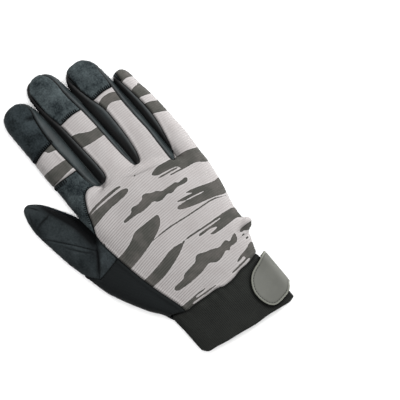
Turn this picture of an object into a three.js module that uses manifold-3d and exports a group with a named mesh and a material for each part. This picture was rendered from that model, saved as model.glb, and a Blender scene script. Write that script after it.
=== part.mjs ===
// A work glove for the right hand, lying empty on its palm.
// Millimetres, +Z up out of the back of the hand, +Y to the fingertips, +X to the little finger.
// Lengths along the glove are measured from the wrist seam, lengths across it from its middle.

import * as THREE from "three";
import { mergeVertices } from "three/addons/utils/BufferGeometryUtils.js";
import Module from "manifold-3d";

// Hand
const palmWidth = 100;
const handLength = 110;
const handHeight = 22;

// Fingers, each length from the wrist seam to the tip
const indexReach = 196.6;
const middleReach = 203.2;
const ringReach = 192.8;
const littleReach = 169;
const indexWidth = 27;
const middleWidth = 28;
const ringWidth = 26;
const littleWidth = 15.5;
const fingerHeight = 15.5;

// Thumb, measured along the glove from where it leaves the wrist
const thumbLength = 125;
const thumbWidth = 28;
const thumbHeight = 16;

// Cuff, with one side longer than the other
const cuffHeight = 12.5;
const cuffShortSide = 32;
const cuffLongSide = 42;
const cuffWall = 2;

// Pull tab of the wrist closure
const tabLength = 24.5;
const tabWidth = 36.5;
const tabThickness = 2;
const tabFallBelowSeam = 1.8;

// Cloth and seams
const clothWall = 1.6;
const seamGap = 0.3;
const sideSeamHeight = 6.5;

// Shape of a section: how square it is, where it is widest, and how deep it would sink into the surface
const ringSides = 18;
const squareness = 0.74;
const widestShare = 0.42;
const flattenedDepth = 1.2;

// Finishes
const finishes = {
  suede: { color: 0x353c42, roughness: 0.95, metalness: 0 },
  thumbSuede: { color: 0x3c4346, roughness: 0.95, metalness: 0 },
  palmSuede: { color: 0x30373f, roughness: 0.95, metalness: 0 },
  camouflageKnit: { color: 0xa9a2a0, roughness: 0.9, metalness: 0 },
  sideStrip: { color: 0x2d3438, roughness: 0.6, metalness: 0 },
  blackKnit: { color: 0x1e2121, roughness: 0.9, metalness: 0 },
  elastic: { color: 0x262826, roughness: 0.9, metalness: 0 },
  tabRubber: { color: 0x767870, roughness: 0.55, metalness: 0 },
};

// Hand sections: along is a share of handLength, left and right of palmWidth, high of handHeight
const handRows = [
  { along: 0, left: -0.375, right: 0.4, high: 0.62 },
  { along: 0.045, left: -0.385, right: 0.417, high: 0.69 },
  { along: 0.127, left: -0.42, right: 0.458, high: 0.79 },
  { along: 0.264, left: -0.45, right: 0.494, high: 0.9 },
  { along: 0.41, left: -0.45, right: 0.516, high: 0.96 },
  { along: 0.555, left: -0.45, right: 0.546, high: 1 },
  { along: 0.67, left: -0.44, right: 0.563, high: 1 },
  { along: 0.79, left: -0.423, right: 0.571, high: 0.98 },
  { along: 0.85, left: -0.42, right: 0.412, high: 0.93 },
  { along: 0.945, left: -0.418, right: 0.39, high: 0.84 },
  { along: 0.98, left: -0.38, right: 0.3, high: 0.74 },
  { along: 0.995, left: -0.3, right: 0.16, high: 0.6 },
];

// Finger sections: along is a share of the way from the root to the tip, high of fingerHeight,
// and the others of the finger's width, from its middle line. seamLeft and seamRight bound its back.
const fingers = {
  index: {
    middle: -0.285 * palmWidth,
    root: 0.76 * handLength,
    reach: indexReach,
    width: indexWidth,
    capSeam: 0.63,
    rows: [
      { along: 0, left: -0.49, right: 0.5, seamLeft: -0.6, seamRight: 0.38, high: 1.2 },
      { along: 0.28, left: -0.485, right: 0.5, seamLeft: -0.6, seamRight: 0.37, high: 1.08 },
      { along: 0.43, left: -0.5, right: 0.48, seamLeft: -0.6, seamRight: 0.3, high: 1 },
      { along: 0.67, left: -0.505, right: 0.45, seamLeft: -0.6, seamRight: 0.25, high: 0.98 },
      { along: 0.85, left: -0.5, right: 0.44, seamLeft: -0.6, seamRight: 0.37, high: 0.93 },
      { along: 0.93, left: -0.475, right: 0.42, seamLeft: -0.6, seamRight: 0.38, high: 0.86 },
      { along: 0.97, left: -0.4, right: 0.33, seamLeft: -0.6, seamRight: 0.28, high: 0.75 },
      { along: 0.99, left: -0.25, right: 0.2, seamLeft: -0.6, seamRight: 0.14, high: 0.62 },
      { along: 1, left: -0.12, right: 0.08, seamLeft: -0.6, seamRight: 0, high: 0.45 },
    ],
  },
  middle: {
    middle: 0,
    root: 0.76 * handLength,
    reach: middleReach,
    width: middleWidth,
    capSeam: 0.66,
    rows: [
      { along: 0, left: -0.5, right: 0.5, seamLeft: -0.23, seamRight: 0.42, high: 1.25 },
      { along: 0.22, left: -0.5, right: 0.5, seamLeft: -0.23, seamRight: 0.42, high: 1.12 },
      { along: 0.47, left: -0.505, right: 0.485, seamLeft: -0.275, seamRight: 0.38, high: 1.02 },
      { along: 0.655, left: -0.515, right: 0.46, seamLeft: -0.33, seamRight: 0.36, high: 1 },
      { along: 0.805, left: -0.52, right: 0.43, seamLeft: -0.42, seamRight: 0.32, high: 0.95 },
      { along: 0.906, left: -0.51, right: 0.37, seamLeft: -0.46, seamRight: 0.3, high: 0.87 },
      { along: 0.956, left: -0.43, right: 0.28, seamLeft: -0.37, seamRight: 0.22, high: 0.76 },
      { along: 0.986, left: -0.28, right: 0.13, seamLeft: -0.24, seamRight: 0.06, high: 0.62 },
      { along: 1, left: -0.16, right: 0.03, seamLeft: -0.14, seamRight: -0.02, high: 0.45 },
    ],
  },
  ring: {
    middle: 0.28 * palmWidth,
    root: 0.76 * handLength,
    reach: ringReach,
    width: ringWidth,
    capSeam: 0.7,
    rows: [
      { along: 0, left: -0.5, right: 0.5, seamLeft: -0.28, seamRight: 0.39, high: 1.2 },
      { along: 0.21, left: -0.5, right: 0.5, seamLeft: -0.28, seamRight: 0.39, high: 1.08 },
      { along: 0.42, left: -0.5, right: 0.5, seamLeft: -0.2, seamRight: 0.39, high: 1 },
      { along: 0.605, left: -0.5, right: 0.49, seamLeft: -0.17, seamRight: 0.36, high: 0.98 },
      { along: 0.706, left: -0.505, right: 0.485, seamLeft: -0.26, seamRight: 0.4, high: 0.97 },
      { along: 0.807, left: -0.515, right: 0.455, seamLeft: -0.38, seamRight: 0.39, high: 0.94 },
      { along: 0.9, left: -0.515, right: 0.42, seamLeft: -0.45, seamRight: 0.36, high: 0.86 },
      { along: 0.954, left: -0.44, right: 0.33, seamLeft: -0.38, seamRight: 0.27, high: 0.75 },
      { along: 0.982, left: -0.3, right: 0.2, seamLeft: -0.25, seamRight: 0.14, high: 0.62 },
      { along: 1, left: -0.14, right: 0.07, seamLeft: -0.1, seamRight: 0.03, high: 0.45 },
    ],
  },
  little: {
    middle: 0.5 * palmWidth,
    root: 0.67 * handLength,
    reach: littleReach,
    width: littleWidth,
    rows: [
      { along: 0, left: -0.5, right: 0.25, seamLeft: -0.45, high: 1 },
      { along: 0.147, left: -0.5, right: 0.45, seamLeft: -0.45, high: 1.15 },
      { along: 0.274, left: -0.5, right: 0.515, seamLeft: -0.43, high: 1.1 },
      { along: 0.408, left: -0.49, right: 0.45, seamLeft: -0.3, high: 1 },
      { along: 0.537, left: -0.45, right: 0.465, seamLeft: -0.15, high: 0.95 },
      { along: 0.68, left: -0.46, right: 0.41, seamLeft: -0.13, high: 0.92 },
      { along: 0.79, left: -0.47, right: 0.32, seamLeft: -0.22, high: 0.9 },
      { along: 0.884, left: -0.46, right: 0.265, seamLeft: -0.32, high: 0.86 },
      { along: 0.937, left: -0.45, right: 0.24, seamLeft: -0.35, high: 0.8 },
      { along: 0.974, left: -0.4, right: 0.12, seamLeft: -0.32, high: 0.68 },
      { along: 1, left: -0.25, right: -0.05, seamLeft: -0.2, high: 0.45 },
    ],
  },
};

// Thumb sections: along is a share of thumbLength, left and right of thumbWidth, high of thumbHeight
const thumbMiddle = -0.42 * palmWidth;
const thumbRoot = 0.09 * handLength;
const thumbRows = [
  { along: 0, left: 0.14, right: 0.29, high: 0.8 },
  { along: 0.054, left: -0.115, right: 0.29, high: 0.96 },
  { along: 0.172, left: -0.42, right: 0.29, high: 1.12 },
  { along: 0.296, left: -0.7, right: 0.29, high: 1.22 },
  { along: 0.408, left: -0.83, right: 0.29, high: 1.24 },
  { along: 0.52, left: -0.93, right: 0.18, high: 1.18 },
  { along: 0.56, left: -0.975, right: -0.052, high: 1.15 },
  { along: 0.632, left: -1.036, right: -0.062, high: 1.1 },
  { along: 0.752, left: -1.107, right: -0.105, high: 1.05 },
  { along: 0.84, left: -1.157, right: -0.243, high: 1 },
  { along: 0.904, left: -1.118, right: -0.418, high: 0.92 },
  { along: 0.96, left: -1.036, right: -0.589, high: 0.78 },
  { along: 0.988, left: -0.964, right: -0.696, high: 0.6 },
  { along: 1, left: -0.91, right: -0.768, high: 0.42 },
];

// Cuff sections: along is a share of cuffLongSide below the wrist seam, left and right of palmWidth,
// high of cuffHeight
const cuffRows = [
  { along: 1.1, left: -0.345, right: 0.405, high: 0.94 },
  { along: 0.75, left: -0.352, right: 0.408, high: 0.94 },
  { along: 0.4, left: -0.358, right: 0.41, high: 0.96 },
  { along: 0.15, left: -0.362, right: 0.41, high: 1 },
  { along: 0, left: -0.372, right: 0.4, high: 1.06 },
];

// Seam of the camouflage knit on the thumb side: across is a share of palmWidth, along of handLength
const knitSeam = [
  { across: -0.261, along: 0 },
  { across: -0.267, along: 0.059 },
  { across: -0.33, along: 0.264 },
  { across: -0.35, along: 0.345 },
  { across: -0.373, along: 0.464 },
  { across: -0.39, along: 0.564 },
  { across: -0.406, along: 0.682 },
  { across: -0.412, along: 0.775 },
  { across: -0.39, along: 0.809 },
  { across: -0.368, along: 0.861 },
  { across: -0.322, along: 0.973 },
  { across: -0.262, along: 1.058 },
];
const patchTop = 1.199 * handLength;

// Other seams on the back of the thumb side, in the same shares
const thumbCrotch = { across: -0.4315, along: 0.73 };
const patchCorner = { across: -0.585, along: 0.533 };
const patchFoot = { across: -0.397, along: 0.58 };
const gussetTop = { across: -0.68, along: 0.64 };
const thumbSeamOuter = { across: -0.8, along: 1.07 };
const thumbSeamInner = { across: -0.462, along: 0.7 };

// Tab sheet from its sewn root to its free end: out is a share of tabThickness past the cuff's edge,
// back of tabLength towards the thumb, up of cuffHeight, and its flat stretch lies on the cuff
const tabSheet = [
  { out: 0, back: 0, up: 0.24 },
  { out: 0, back: 0, up: 0.5 },
  { out: 0.9, back: 0, up: 0.74 },
  { out: 0.8, back: 0, up: 0.95 },
  { out: -0.4, back: 0, up: 1.104 },
  { out: 0, back: 0.5, up: 1.104 },
  { out: 0, back: 1, up: 1.104 },
];

// Tab outline from above: across is a share of tabLength from its free end, down of tabWidth
const tabOutline = [
  { across: 1.2, down: 0 },
  { across: 0.95, down: 0 },
  { across: 0.66, down: 0.11 },
  { across: 0.34, down: 0.19 },
  { across: 0.11, down: 0.34 },
  { across: 0, down: 0.6 },
  { across: 0.05, down: 0.78 },
  { across: 0.2, down: 0.94 },
  { across: 0.4, down: 1 },
  { across: 0.78, down: 0.96 },
  { across: 0.97, down: 0.87 },
  { across: 1.2, down: 0.78 },
];

// Gusset edge and thumb seam on the palm side, in the same shares
const palmGussetEdge = [
  { across: -0.25, along: 0 },
  { across: -0.29, along: 0.12 },
  { across: -0.42, along: 0.345 },
  { across: -0.57, along: 0.58 },
];
const palmThumbSeam = { across: -0.455, along: 0.71 };

const wasm = await Module();
wasm.setup();
const { Manifold, Mesh } = wasm;

// Turns a closed three.js geometry into a solid
function solid(geometry) {
  const bare = geometry.index ? geometry.toNonIndexed() : geometry;
  bare.deleteAttribute("normal");
  bare.deleteAttribute("uv");
  const merged = mergeVertices(bare, 1e-4);
  return new Manifold(
    new Mesh({
      numProp: 3,
      vertProperties: new Float32Array(merged.attributes.position.array),
      triVerts: new Uint32Array(merged.index.array),
    })
  );
}

// Turns a solid into a three.js geometry with flat shading
function geometryOf(body) {
  const mesh = body.getMesh();
  const geometry = new THREE.BufferGeometry();
  const positions = new THREE.BufferAttribute(new Float32Array(mesh.vertProperties), 3);
  geometry.setAttribute("position", positions);
  geometry.setIndex(Array.from(mesh.triVerts));
  return geometry;
}

// Joins solids into one
function joined(bodies) {
  return bodies.reduce((whole, body) => whole.add(body));
}

// The largest separate body of a solid, so that no crumb of a cut is kept
function largestBody(body) {
  const bodies = body.decompose();
  return bodies.reduce((best, one) => (one.volume() > best.volume() ? one : best));
}

// A block standing on an outline of [x, y] points, from the height low to the height high
function block(outline, low, high) {
  const shape = new THREE.Shape(outline.map(([x, y]) => new THREE.Vector2(x, y)));
  const geometry = new THREE.ExtrudeGeometry(shape, { depth: high - low, bevelEnabled: false });
  geometry.translate(0, 0, low);
  return solid(geometry);
}

// The outline moved outwards all round by a distance
function grown(outline, distance) {
  const points = outline.map(([x, y]) => new THREE.Vector2(x, y));
  const turn = THREE.ShapeUtils.isClockWise(points) ? -1 : 1;
  return points.map((point, i) => {
    const before = points[(i + points.length - 1) % points.length];
    const after = points[(i + 1) % points.length];
    const incoming = point.clone().sub(before).normalize();
    const outgoing = after.clone().sub(point).normalize();
    const bisector = incoming.clone().add(outgoing).normalize();
    const reach = (turn * distance) / Math.max(bisector.dot(incoming), 0.5);
    return [point.x + bisector.y * reach, point.y - bisector.x * reach];
  });
}

// One ring of a loft at a station: a rounded section whose underside is flattened below the surface
function ring(station, inset) {
  const half = Math.max((station.right - station.left) / 2 - inset, 0.3);
  const centre = (station.right + station.left) / 2;
  const top = Math.max(station.high - inset, widestShare * station.high + 0.3);
  const widest = widestShare * station.high;
  const points = [];
  for (let i = 0; i < ringSides; i += 1) {
    const angle = ((i + 0.5) / ringSides) * 2 * Math.PI;
    const across = Math.sign(Math.cos(angle)) * Math.abs(Math.cos(angle)) ** squareness;
    const up = Math.sign(Math.sin(angle)) * Math.abs(Math.sin(angle)) ** squareness;
    const rise = up > 0 ? top - widest : widest + flattenedDepth;
    points.push([centre + half * across, station.y, widest + rise * up]);
  }
  return points;
}

// A closed solid through the rings of its stations, which run along the glove
function loft(stations, inset) {
  const rings = stations.map((station) => ring(station, inset));
  const vertices = rings.flat();
  const last = (rings.length - 1) * ringSides;
  const triangles = [];
  for (let r = 0; r < rings.length - 1; r += 1) {
    for (let i = 0; i < ringSides; i += 1) {
      const next = (i + 1) % ringSides;
      const a = r * ringSides + i;
      const b = r * ringSides + next;
      triangles.push(a, a + ringSides, b, b, a + ringSides, b + ringSides);
    }
  }
  for (let i = 1; i < ringSides - 1; i += 1) {
    triangles.push(0, i, i + 1);
    triangles.push(last, last + i + 1, last + i);
  }
  const geometry = new THREE.BufferGeometry();
  geometry.setAttribute("position", new THREE.Float32BufferAttribute(vertices.flat(), 3));
  geometry.setIndex(triangles);
  return solid(geometry);
}

// The stations of a table of rows, in millimetres. Its far end is drawn in by the same inset as its sides.
function stationsOf({ rows, middle, root, reach, width, height }, inset) {
  return rows.map((row) => ({
    y: root + row.along * (reach - inset - root),
    left: middle + row.left * width,
    right: middle + row.right * width,
    high: row.high * height,
  }));
}

const handForm = {
  rows: [{ ...handRows[0], along: -0.1 }, ...handRows],
  middle: 0,
  root: 0,
  reach: handLength,
  width: palmWidth,
  height: handHeight,
};
const thumbForm = {
  rows: thumbRows,
  middle: thumbMiddle,
  root: thumbRoot,
  reach: thumbRoot + thumbLength,
  width: thumbWidth,
  height: thumbHeight,
};
const fingerForms = Object.values(fingers).map((finger) => ({ ...finger, height: fingerHeight }));

// Everything above or below a height, and everything on the wrist side of the wrist seam
const far = 4 * palmWidth;
const everywhere = [
  [-far, -far],
  [far, -far],
  [far, far],
  [-far, far],
];
const belowSurface = block(everywhere, -far, 0);
const wristSide = block(
  [
    [-far, -far],
    [far, -far],
    [far, 0],
    [-far, 0],
  ],
  -far,
  far
);

// The hand, fingers and thumb as one hollow skin, open at the wrist and flat where it rests
function gloveSkin() {
  const forms = [handForm, thumbForm, ...fingerForms];
  const outside = joined(forms.map((form) => loft(stationsOf(form, 0), 0)));
  const inside = joined(forms.map((form) => loft(stationsOf(form, clothWall), clothWall)));
  const hollow = inside.subtract(block(everywhere, -far, clothWall));
  return outside.subtract(belowSurface).subtract(hollow).subtract(wristSide);
}

let skin = gloveSkin();

// Cuts the regions out of the skin as one panel, and takes a seam's clearance off what is left.
// A region is an outline with the heights low and high.
function cutPanel(regions) {
  const inside = joined(regions.map(({ outline, low, high }) => block(outline, low, high)));
  const cleared = joined(
    regions.map(({ outline, low, high }) =>
      block(grown(outline, seamGap), low - seamGap, high + seamGap)
    )
  );
  const panel = largestBody(skin.intersect(inside));
  skin = skin.subtract(cleared);
  return panel;
}

// A panel of the back, above the side seam
function cutBackPanel(outline) {
  return cutPanel([{ outline, low: sideSeamHeight, high: far }]);
}

// A point given in shares of the palm's width and the hand's length
function place({ across, along }) {
  return [across * palmWidth, along * handLength];
}

// A finger's seam or edge named by its column, as points from root to tip
function fingerLine(finger, column) {
  return finger.rows.map((row) => [
    finger.middle + row[column] * finger.width,
    finger.root + row.along * (finger.reach - finger.root),
  ]);
}

// The part of a line beyond a place along the glove, starting at that place
function lineBeyond(line, start) {
  const after = line.filter(([, y]) => y > start);
  const before = line.filter(([, y]) => y <= start).at(-1);
  const share = (start - before[1]) / (after[0][1] - before[1]);
  return [[before[0] + share * (after[0][0] - before[0]), start], ...after];
}

const pastTip = 5;
const forkDepth = 4;

// A fingertip cap: what is beyond its seam and between the seams of the finger's back
function capOutline(finger) {
  const seam = finger.root + finger.capSeam * (finger.reach - finger.root);
  const right = lineBeyond(fingerLine(finger, "seamRight"), seam);
  const left = lineBeyond(fingerLine(finger, "seamLeft"), seam);
  const end = finger.reach + pastTip;
  return [...right, [right.at(-1)[0], end], [left.at(-1)[0], end], ...left.reverse()];
}

// A side strip: from the right seam of one finger to the left seam of the next, from below their fork
function stripOutline(first, second, fork) {
  const right = lineBeyond(fingerLine(first, "seamRight"), fork);
  const left = lineBeyond(fingerLine(second, "seamLeft"), fork);
  const end = Math.max(first.reach, second.reach) + pastTip;
  return [
    ...left,
    [left.at(-1)[0], end],
    [right.at(-1)[0], end],
    ...right.reverse(),
    [(right.at(-1)[0] + left[0][0]) / 2, fork - forkDepth],
  ];
}

const { index, middle, ring: ringFinger, little } = fingers;
const indexMiddleFork = 0.975 * handLength;
const middleRingFork = 0.95 * handLength;
const ringLittleFork = 0.84 * handLength;

// A clear line between the thumb and the edge of the hand
const betweenThumbAndHand = -0.4285 * palmWidth;
const outside = -palmWidth;

function cutIndexBasePatch() {
  const seam = knitSeam.slice(7).map(place);
  const right = lineBeyond(fingerLine(index, "seamRight"), seam.at(-1)[1])[0];
  const top = lineBeyond(fingerLine(index, "seamRight"), patchTop)[0];
  return cutBackPanel([
    [betweenThumbAndHand, seam[0][1]],
    ...seam,
    right,
    top,
    [betweenThumbAndHand, patchTop],
  ]);
}

function cutIndexKnucklePanel() {
  const seam = index.root + index.capSeam * (index.reach - index.root);
  const right = lineBeyond(fingerLine(index, "seamRight"), patchTop);
  const upper = lineBeyond(fingerLine(index, "seamRight"), seam)[0];
  const edge = index.middle - 0.6 * index.width;
  const between = right.filter(([, y]) => y < seam);
  return cutBackPanel([[edge, patchTop], ...between, upper, [edge, seam]]);
}

// The thumb's back is two panels, above and below its double seam
function cutThumbTipPanel() {
  return cutBackPanel([
    place(thumbSeamOuter),
    place(thumbSeamInner),
    place(thumbCrotch),
    [betweenThumbAndHand, thumbCrotch.along * handLength],
    [betweenThumbAndHand, thumbRoot + thumbLength + pastTip],
    [outside, thumbRoot + thumbLength + pastTip],
  ]);
}

function cutThumbBasePanel() {
  return cutBackPanel([
    place(thumbSeamOuter),
    [outside, gussetTop.along * handLength],
    place(gussetTop),
    place(patchCorner),
    place(thumbSeamInner),
  ]);
}

function cutThumbRootPatch() {
  return cutBackPanel([
    place(patchCorner),
    place(patchFoot),
    place(knitSeam[6]),
    place(knitSeam[7]),
    place(thumbCrotch),
    place(thumbSeamInner),
  ]);
}

// The gusset wraps the edge of the hand: it has one outline on the back and another on the palm
function cutSideGusset() {
  const backSeam = knitSeam.slice(0, 6).map(place).reverse();
  const onBack = [place(gussetTop), place(patchCorner), place(patchFoot), ...backSeam];
  const palmEdge = palmGussetEdge.map(place).reverse();
  const corner = [
    [outside, -pastTip],
    [outside, gussetTop.along * handLength],
  ];
  const bothEnd = (line) => [...line, [line.at(-1)[0], -pastTip], ...corner];
  return cutPanel([
    { outline: bothEnd(onBack), low: sideSeamHeight, high: far },
    { outline: bothEnd([place(gussetTop), ...palmEdge]), low: -far, high: sideSeamHeight },
  ]);
}

function cutThumbFrontPanel() {
  const outline = [
    [outside, gussetTop.along * handLength],
    place(gussetTop),
    place(palmGussetEdge.at(-1)),
    place(palmThumbSeam),
    [betweenThumbAndHand, thumbCrotch.along * handLength],
    [betweenThumbAndHand, thumbRoot + thumbLength + pastTip],
    [outside, thumbRoot + thumbLength + pastTip],
  ];
  return cutPanel([{ outline, low: -far, high: sideSeamHeight }]);
}

// Elastic cuff, open at both ends, with a slanting lower edge
function cuffBody() {
  const form = {
    rows: cuffRows,
    middle: 0,
    root: 0,
    reach: -cuffLongSide,
    width: palmWidth,
    height: cuffHeight,
  };
  const sleeve = (inset) => {
    const stations = stationsOf(form, 0);
    const first = stations[0];
    const last = stations.at(-1);
    const ends = inset > 0 ? [{ ...first, y: first.y - pastTip }] : [];
    const tail = inset > 0 ? [{ ...last, y: last.y + pastTip }] : [];
    return loft([...ends, ...stations, ...tail], inset);
  };
  const bore = sleeve(cuffWall).subtract(block(everywhere, -far, cuffWall));
  const edge = [
    [-palmWidth / 2, -cuffShortSide],
    [palmWidth / 2, -cuffLongSide],
    [palmWidth / 2, -seamGap],
    [-palmWidth / 2, -seamGap],
  ];
  return sleeve(0).subtract(belowSurface).subtract(bore).intersect(block(edge, -far, far));
}

// A sheet of one thickness whose section follows a line of points
function sheetSection(line, thickness) {
  const side = (sign) =>
    line.map((point, i) => {
      const before = line[Math.max(i - 1, 0)];
      const after = line[Math.min(i + 1, line.length - 1)];
      const along = after.clone().sub(before).normalize();
      const away = (sign * thickness) / 2;
      return new THREE.Vector2(point.x - along.y * away, point.y + along.x * away);
    });
  return new THREE.Shape([...side(1), ...side(-1).reverse()]);
}

// Pull tab: a thin sheet sewn along the little-finger edge of the cuff, looped over onto its back
function tabBody() {
  const widestCuff = Math.max(...cuffRows.map((row) => row.right)) * palmWidth;
  const tallestCuff = Math.max(...cuffRows.map((row) => row.high)) * cuffHeight;
  const root = widestCuff + seamGap + tabThickness / 2;
  const rest = tallestCuff + seamGap + tabThickness / 2;
  const line = tabSheet.map(
    ({ out, back, up }) =>
      new THREE.Vector2(
        root + out * tabThickness - back * (tabLength - tabThickness),
        up > 1 ? rest : up * cuffHeight
      )
  );
  const depth = tabFallBelowSeam + tabWidth;
  const section = sheetSection(line, tabThickness);
  const geometry = new THREE.ExtrudeGeometry(section, { depth, bevelEnabled: false });
  geometry.rotateX(Math.PI / 2);
  const free = root - (tabLength - tabThickness);
  const outline = tabOutline.map(({ across, down }) => [
    free + across * tabLength,
    -tabFallBelowSeam - down * tabWidth,
  ]);
  return solid(geometry).intersect(block(outline, -far, far));
}

const panels = [
  ["index_tip_cap", cutBackPanel(capOutline(index)), "suede"],
  ["middle_tip_cap", cutBackPanel(capOutline(middle)), "suede"],
  ["ring_tip_cap", cutBackPanel(capOutline(ringFinger)), "suede"],
  ["index_base_patch", cutIndexBasePatch(), "suede"],
  ["index_knuckle_panel", cutIndexKnucklePanel(), "camouflageKnit"],
  [
    "fourchette_index_middle",
    cutBackPanel(stripOutline(index, middle, indexMiddleFork)),
    "sideStrip",
  ],
  [
    "fourchette_middle_ring",
    cutBackPanel(stripOutline(middle, ringFinger, middleRingFork)),
    "sideStrip",
  ],
  [
    "fourchette_ring_little",
    cutBackPanel(stripOutline(ringFinger, little, ringLittleFork)),
    "sideStrip",
  ],
  ["thumb_tip_panel", cutThumbTipPanel(), "thumbSuede"],
  ["thumb_base_panel", cutThumbBasePanel(), "thumbSuede"],
  ["thumb_root_patch", cutThumbRootPatch(), "thumbSuede"],
  ["side_gusset", cutSideGusset(), "blackKnit"],
  ["thumb_front_panel", cutThumbFrontPanel(), "palmSuede"],
  ["back_panel", cutBackPanel(everywhere), "camouflageKnit"],
  ["palm_panel", largestBody(skin), "palmSuede"],
  ["wrist_cuff", cuffBody(), "elastic"],
  ["wrist_tab", tabBody(), "tabRubber"],
];

const glove = new THREE.Group();
glove.name = "mechanic_glove";
for (const [name, body, finish] of panels) {
  const mesh = new THREE.Mesh(
    geometryOf(body),
    new THREE.MeshStandardMaterial(finishes[finish])
  );
  mesh.name = name;
  glove.add(mesh);
}

// The origin is the middle of the footprint, on the surface that the glove lies on
const bounds = new THREE.Box3().setFromObject(glove);
const centre = bounds.getCenter(new THREE.Vector3());
glove.position.set(-centre.x, -centre.y, -bounds.min.z);
glove.updateMatrixWorld(true);

export default glove;
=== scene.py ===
import math
import bpy
import numpy as np
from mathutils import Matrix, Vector
from mathutils.bvhtree import BVHTree
from mathutils.kdtree import KDTree


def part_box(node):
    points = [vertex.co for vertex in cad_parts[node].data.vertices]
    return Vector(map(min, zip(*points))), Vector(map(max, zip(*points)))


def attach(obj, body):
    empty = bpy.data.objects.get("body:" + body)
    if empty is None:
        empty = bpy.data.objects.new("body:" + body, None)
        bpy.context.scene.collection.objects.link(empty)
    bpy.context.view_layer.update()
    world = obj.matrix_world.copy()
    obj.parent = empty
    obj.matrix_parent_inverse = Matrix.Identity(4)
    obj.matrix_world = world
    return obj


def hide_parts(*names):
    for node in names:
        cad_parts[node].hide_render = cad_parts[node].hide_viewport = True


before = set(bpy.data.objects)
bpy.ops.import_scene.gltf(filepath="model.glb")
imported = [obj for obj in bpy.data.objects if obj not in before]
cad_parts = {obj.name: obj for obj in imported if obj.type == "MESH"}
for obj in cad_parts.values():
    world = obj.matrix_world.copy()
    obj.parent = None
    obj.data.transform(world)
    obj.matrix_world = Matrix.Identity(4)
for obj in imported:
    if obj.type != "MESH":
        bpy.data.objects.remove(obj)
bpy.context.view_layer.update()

# The glove is drawn in millimetres from the middle of its wrist seam, +Y to the fingertips,
# and rests at z = 0
cuffRight = 41.0  # the cuff's little-finger edge
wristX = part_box("wrist_cuff")[1].x * 1000 - cuffRight
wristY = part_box("palm_panel")[0].y * 1000


def toFrame(points):
    moved = np.array(points, float)
    moved[:, 0] += wristX
    moved[:, 1] += wristY
    return moved / 1000


# Camera: straight down, turned so that the fingers point to the upper left
view = {"aim": (33.9, 56.3, 8.0), "turn": -40.0, "distance": 1.2, "frameWidth": 0.292, "sensor": 36.0}


def makeCamera():
    lens = bpy.data.cameras.new("camera")
    lens.sensor_width = view["sensor"]
    lens.lens = view["sensor"] * view["distance"] / view["frameWidth"]
    lens.clip_end = 10
    camera = bpy.data.objects.new("camera", lens)
    x, y, z = toFrame([view["aim"]])[0]
    camera.location = (x, y, z + view["distance"])
    camera.rotation_euler = (0, 0, math.radians(view["turn"]))
    bpy.context.scene.collection.objects.link(camera)
    bpy.context.scene.camera = camera


makeCamera()
print("camera made")

# Lines, outlines and tables


def smoothLine(points, rounds=2):
    line = np.array(points, float)
    for _ in range(rounds):
        first = 0.75 * line[:-1] + 0.25 * line[1:]
        second = 0.25 * line[:-1] + 0.75 * line[1:]
        inner = np.stack([first, second], axis=1).reshape(-1, line.shape[1])
        line = np.vstack([line[:1], inner[1:-1], line[-1:]])
    return line


def smoothOutline(points, rounds=1):
    line = np.array(points, float)
    for _ in range(rounds):
        after = np.roll(line, -1, axis=0)
        line = np.stack([0.75 * line + 0.25 * after, 0.25 * line + 0.75 * after], axis=1).reshape(-1, 2)
    return line


def lineDistance(places, line):
    line = np.array(line, float)
    steps = np.linalg.norm(np.diff(line, axis=0), axis=1)
    before = np.concatenate([[0], np.cumsum(steps)])
    best = np.full(len(places), 1e9)
    share = np.zeros(len(places))
    side = np.zeros(len(places))
    for i in range(len(line) - 1):
        along = line[i + 1] - line[i]
        rel = places[:, :2] - line[i]
        t = np.clip(rel @ along / max(along @ along, 1e-9), 0, 1)
        off = rel - t[:, None] * along
        d = np.hypot(off[:, 0], off[:, 1])
        closer = d < best
        best[closer] = d[closer]
        share[closer] = (before[i] + t[closer] * steps[i]) / before[-1]
        side[closer] = np.sign(along[0] * off[closer, 1] - along[1] * off[closer, 0])
    return best, share, side


def outlineDistance(places, outline):
    outline = np.array(outline, float)
    after = np.roll(outline, -1, axis=0)
    best = np.full(len(places), 1e18)
    inside = np.zeros(len(places), bool)
    px, py = places[:, 0], places[:, 1]
    for a, b in zip(outline, after):
        ex, ey = b - a
        rx, ry = px - a[0], py - a[1]
        t = np.clip((rx * ex + ry * ey) / max(ex * ex + ey * ey, 1e-12), 0, 1)
        best = np.minimum(best, (rx - t * ex) ** 2 + (ry - t * ey) ** 2)
        spans = (a[1] > py) != (b[1] > py)
        if ey != 0:
            inside ^= spans & (px < a[0] + (py - a[1]) * ex / ey)
    return np.where(inside, -1, 1) * np.sqrt(best)


def tableAt(rows, column, along, soft=3.0):
    rows = np.array(rows, float)
    fine = np.arange(rows[0, 0] - 20, rows[-1, 0] + 20, 0.5)
    values = np.interp(fine, rows[:, 0], rows[:, column])
    reach = int(3 * soft / 0.5)
    weights = np.exp(-0.5 * (np.arange(-reach, reach + 1) * 0.5 / soft) ** 2)
    padded = np.pad(values, reach, mode="edge")
    values = np.convolve(padded, weights / weights.sum(), mode="valid")
    return np.interp(along, fine, values)


def softNoise(points, size, seed, waves=14):
    random = np.random.default_rng(seed)
    total = np.zeros(len(points))
    for _ in range(waves):
        way = random.normal(size=3)
        way /= np.linalg.norm(way)
        turns = 2 * math.pi / size * random.uniform(0.6, 1.5)
        total += np.sin(points @ way * turns + random.uniform(0, 6.283))
    return total / math.sqrt(waves)


# The glove's outer form: tubes for the hand, the fingers and the thumb, each from a table of
# (along, left, right, high) in millimetres, run together softly

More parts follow.
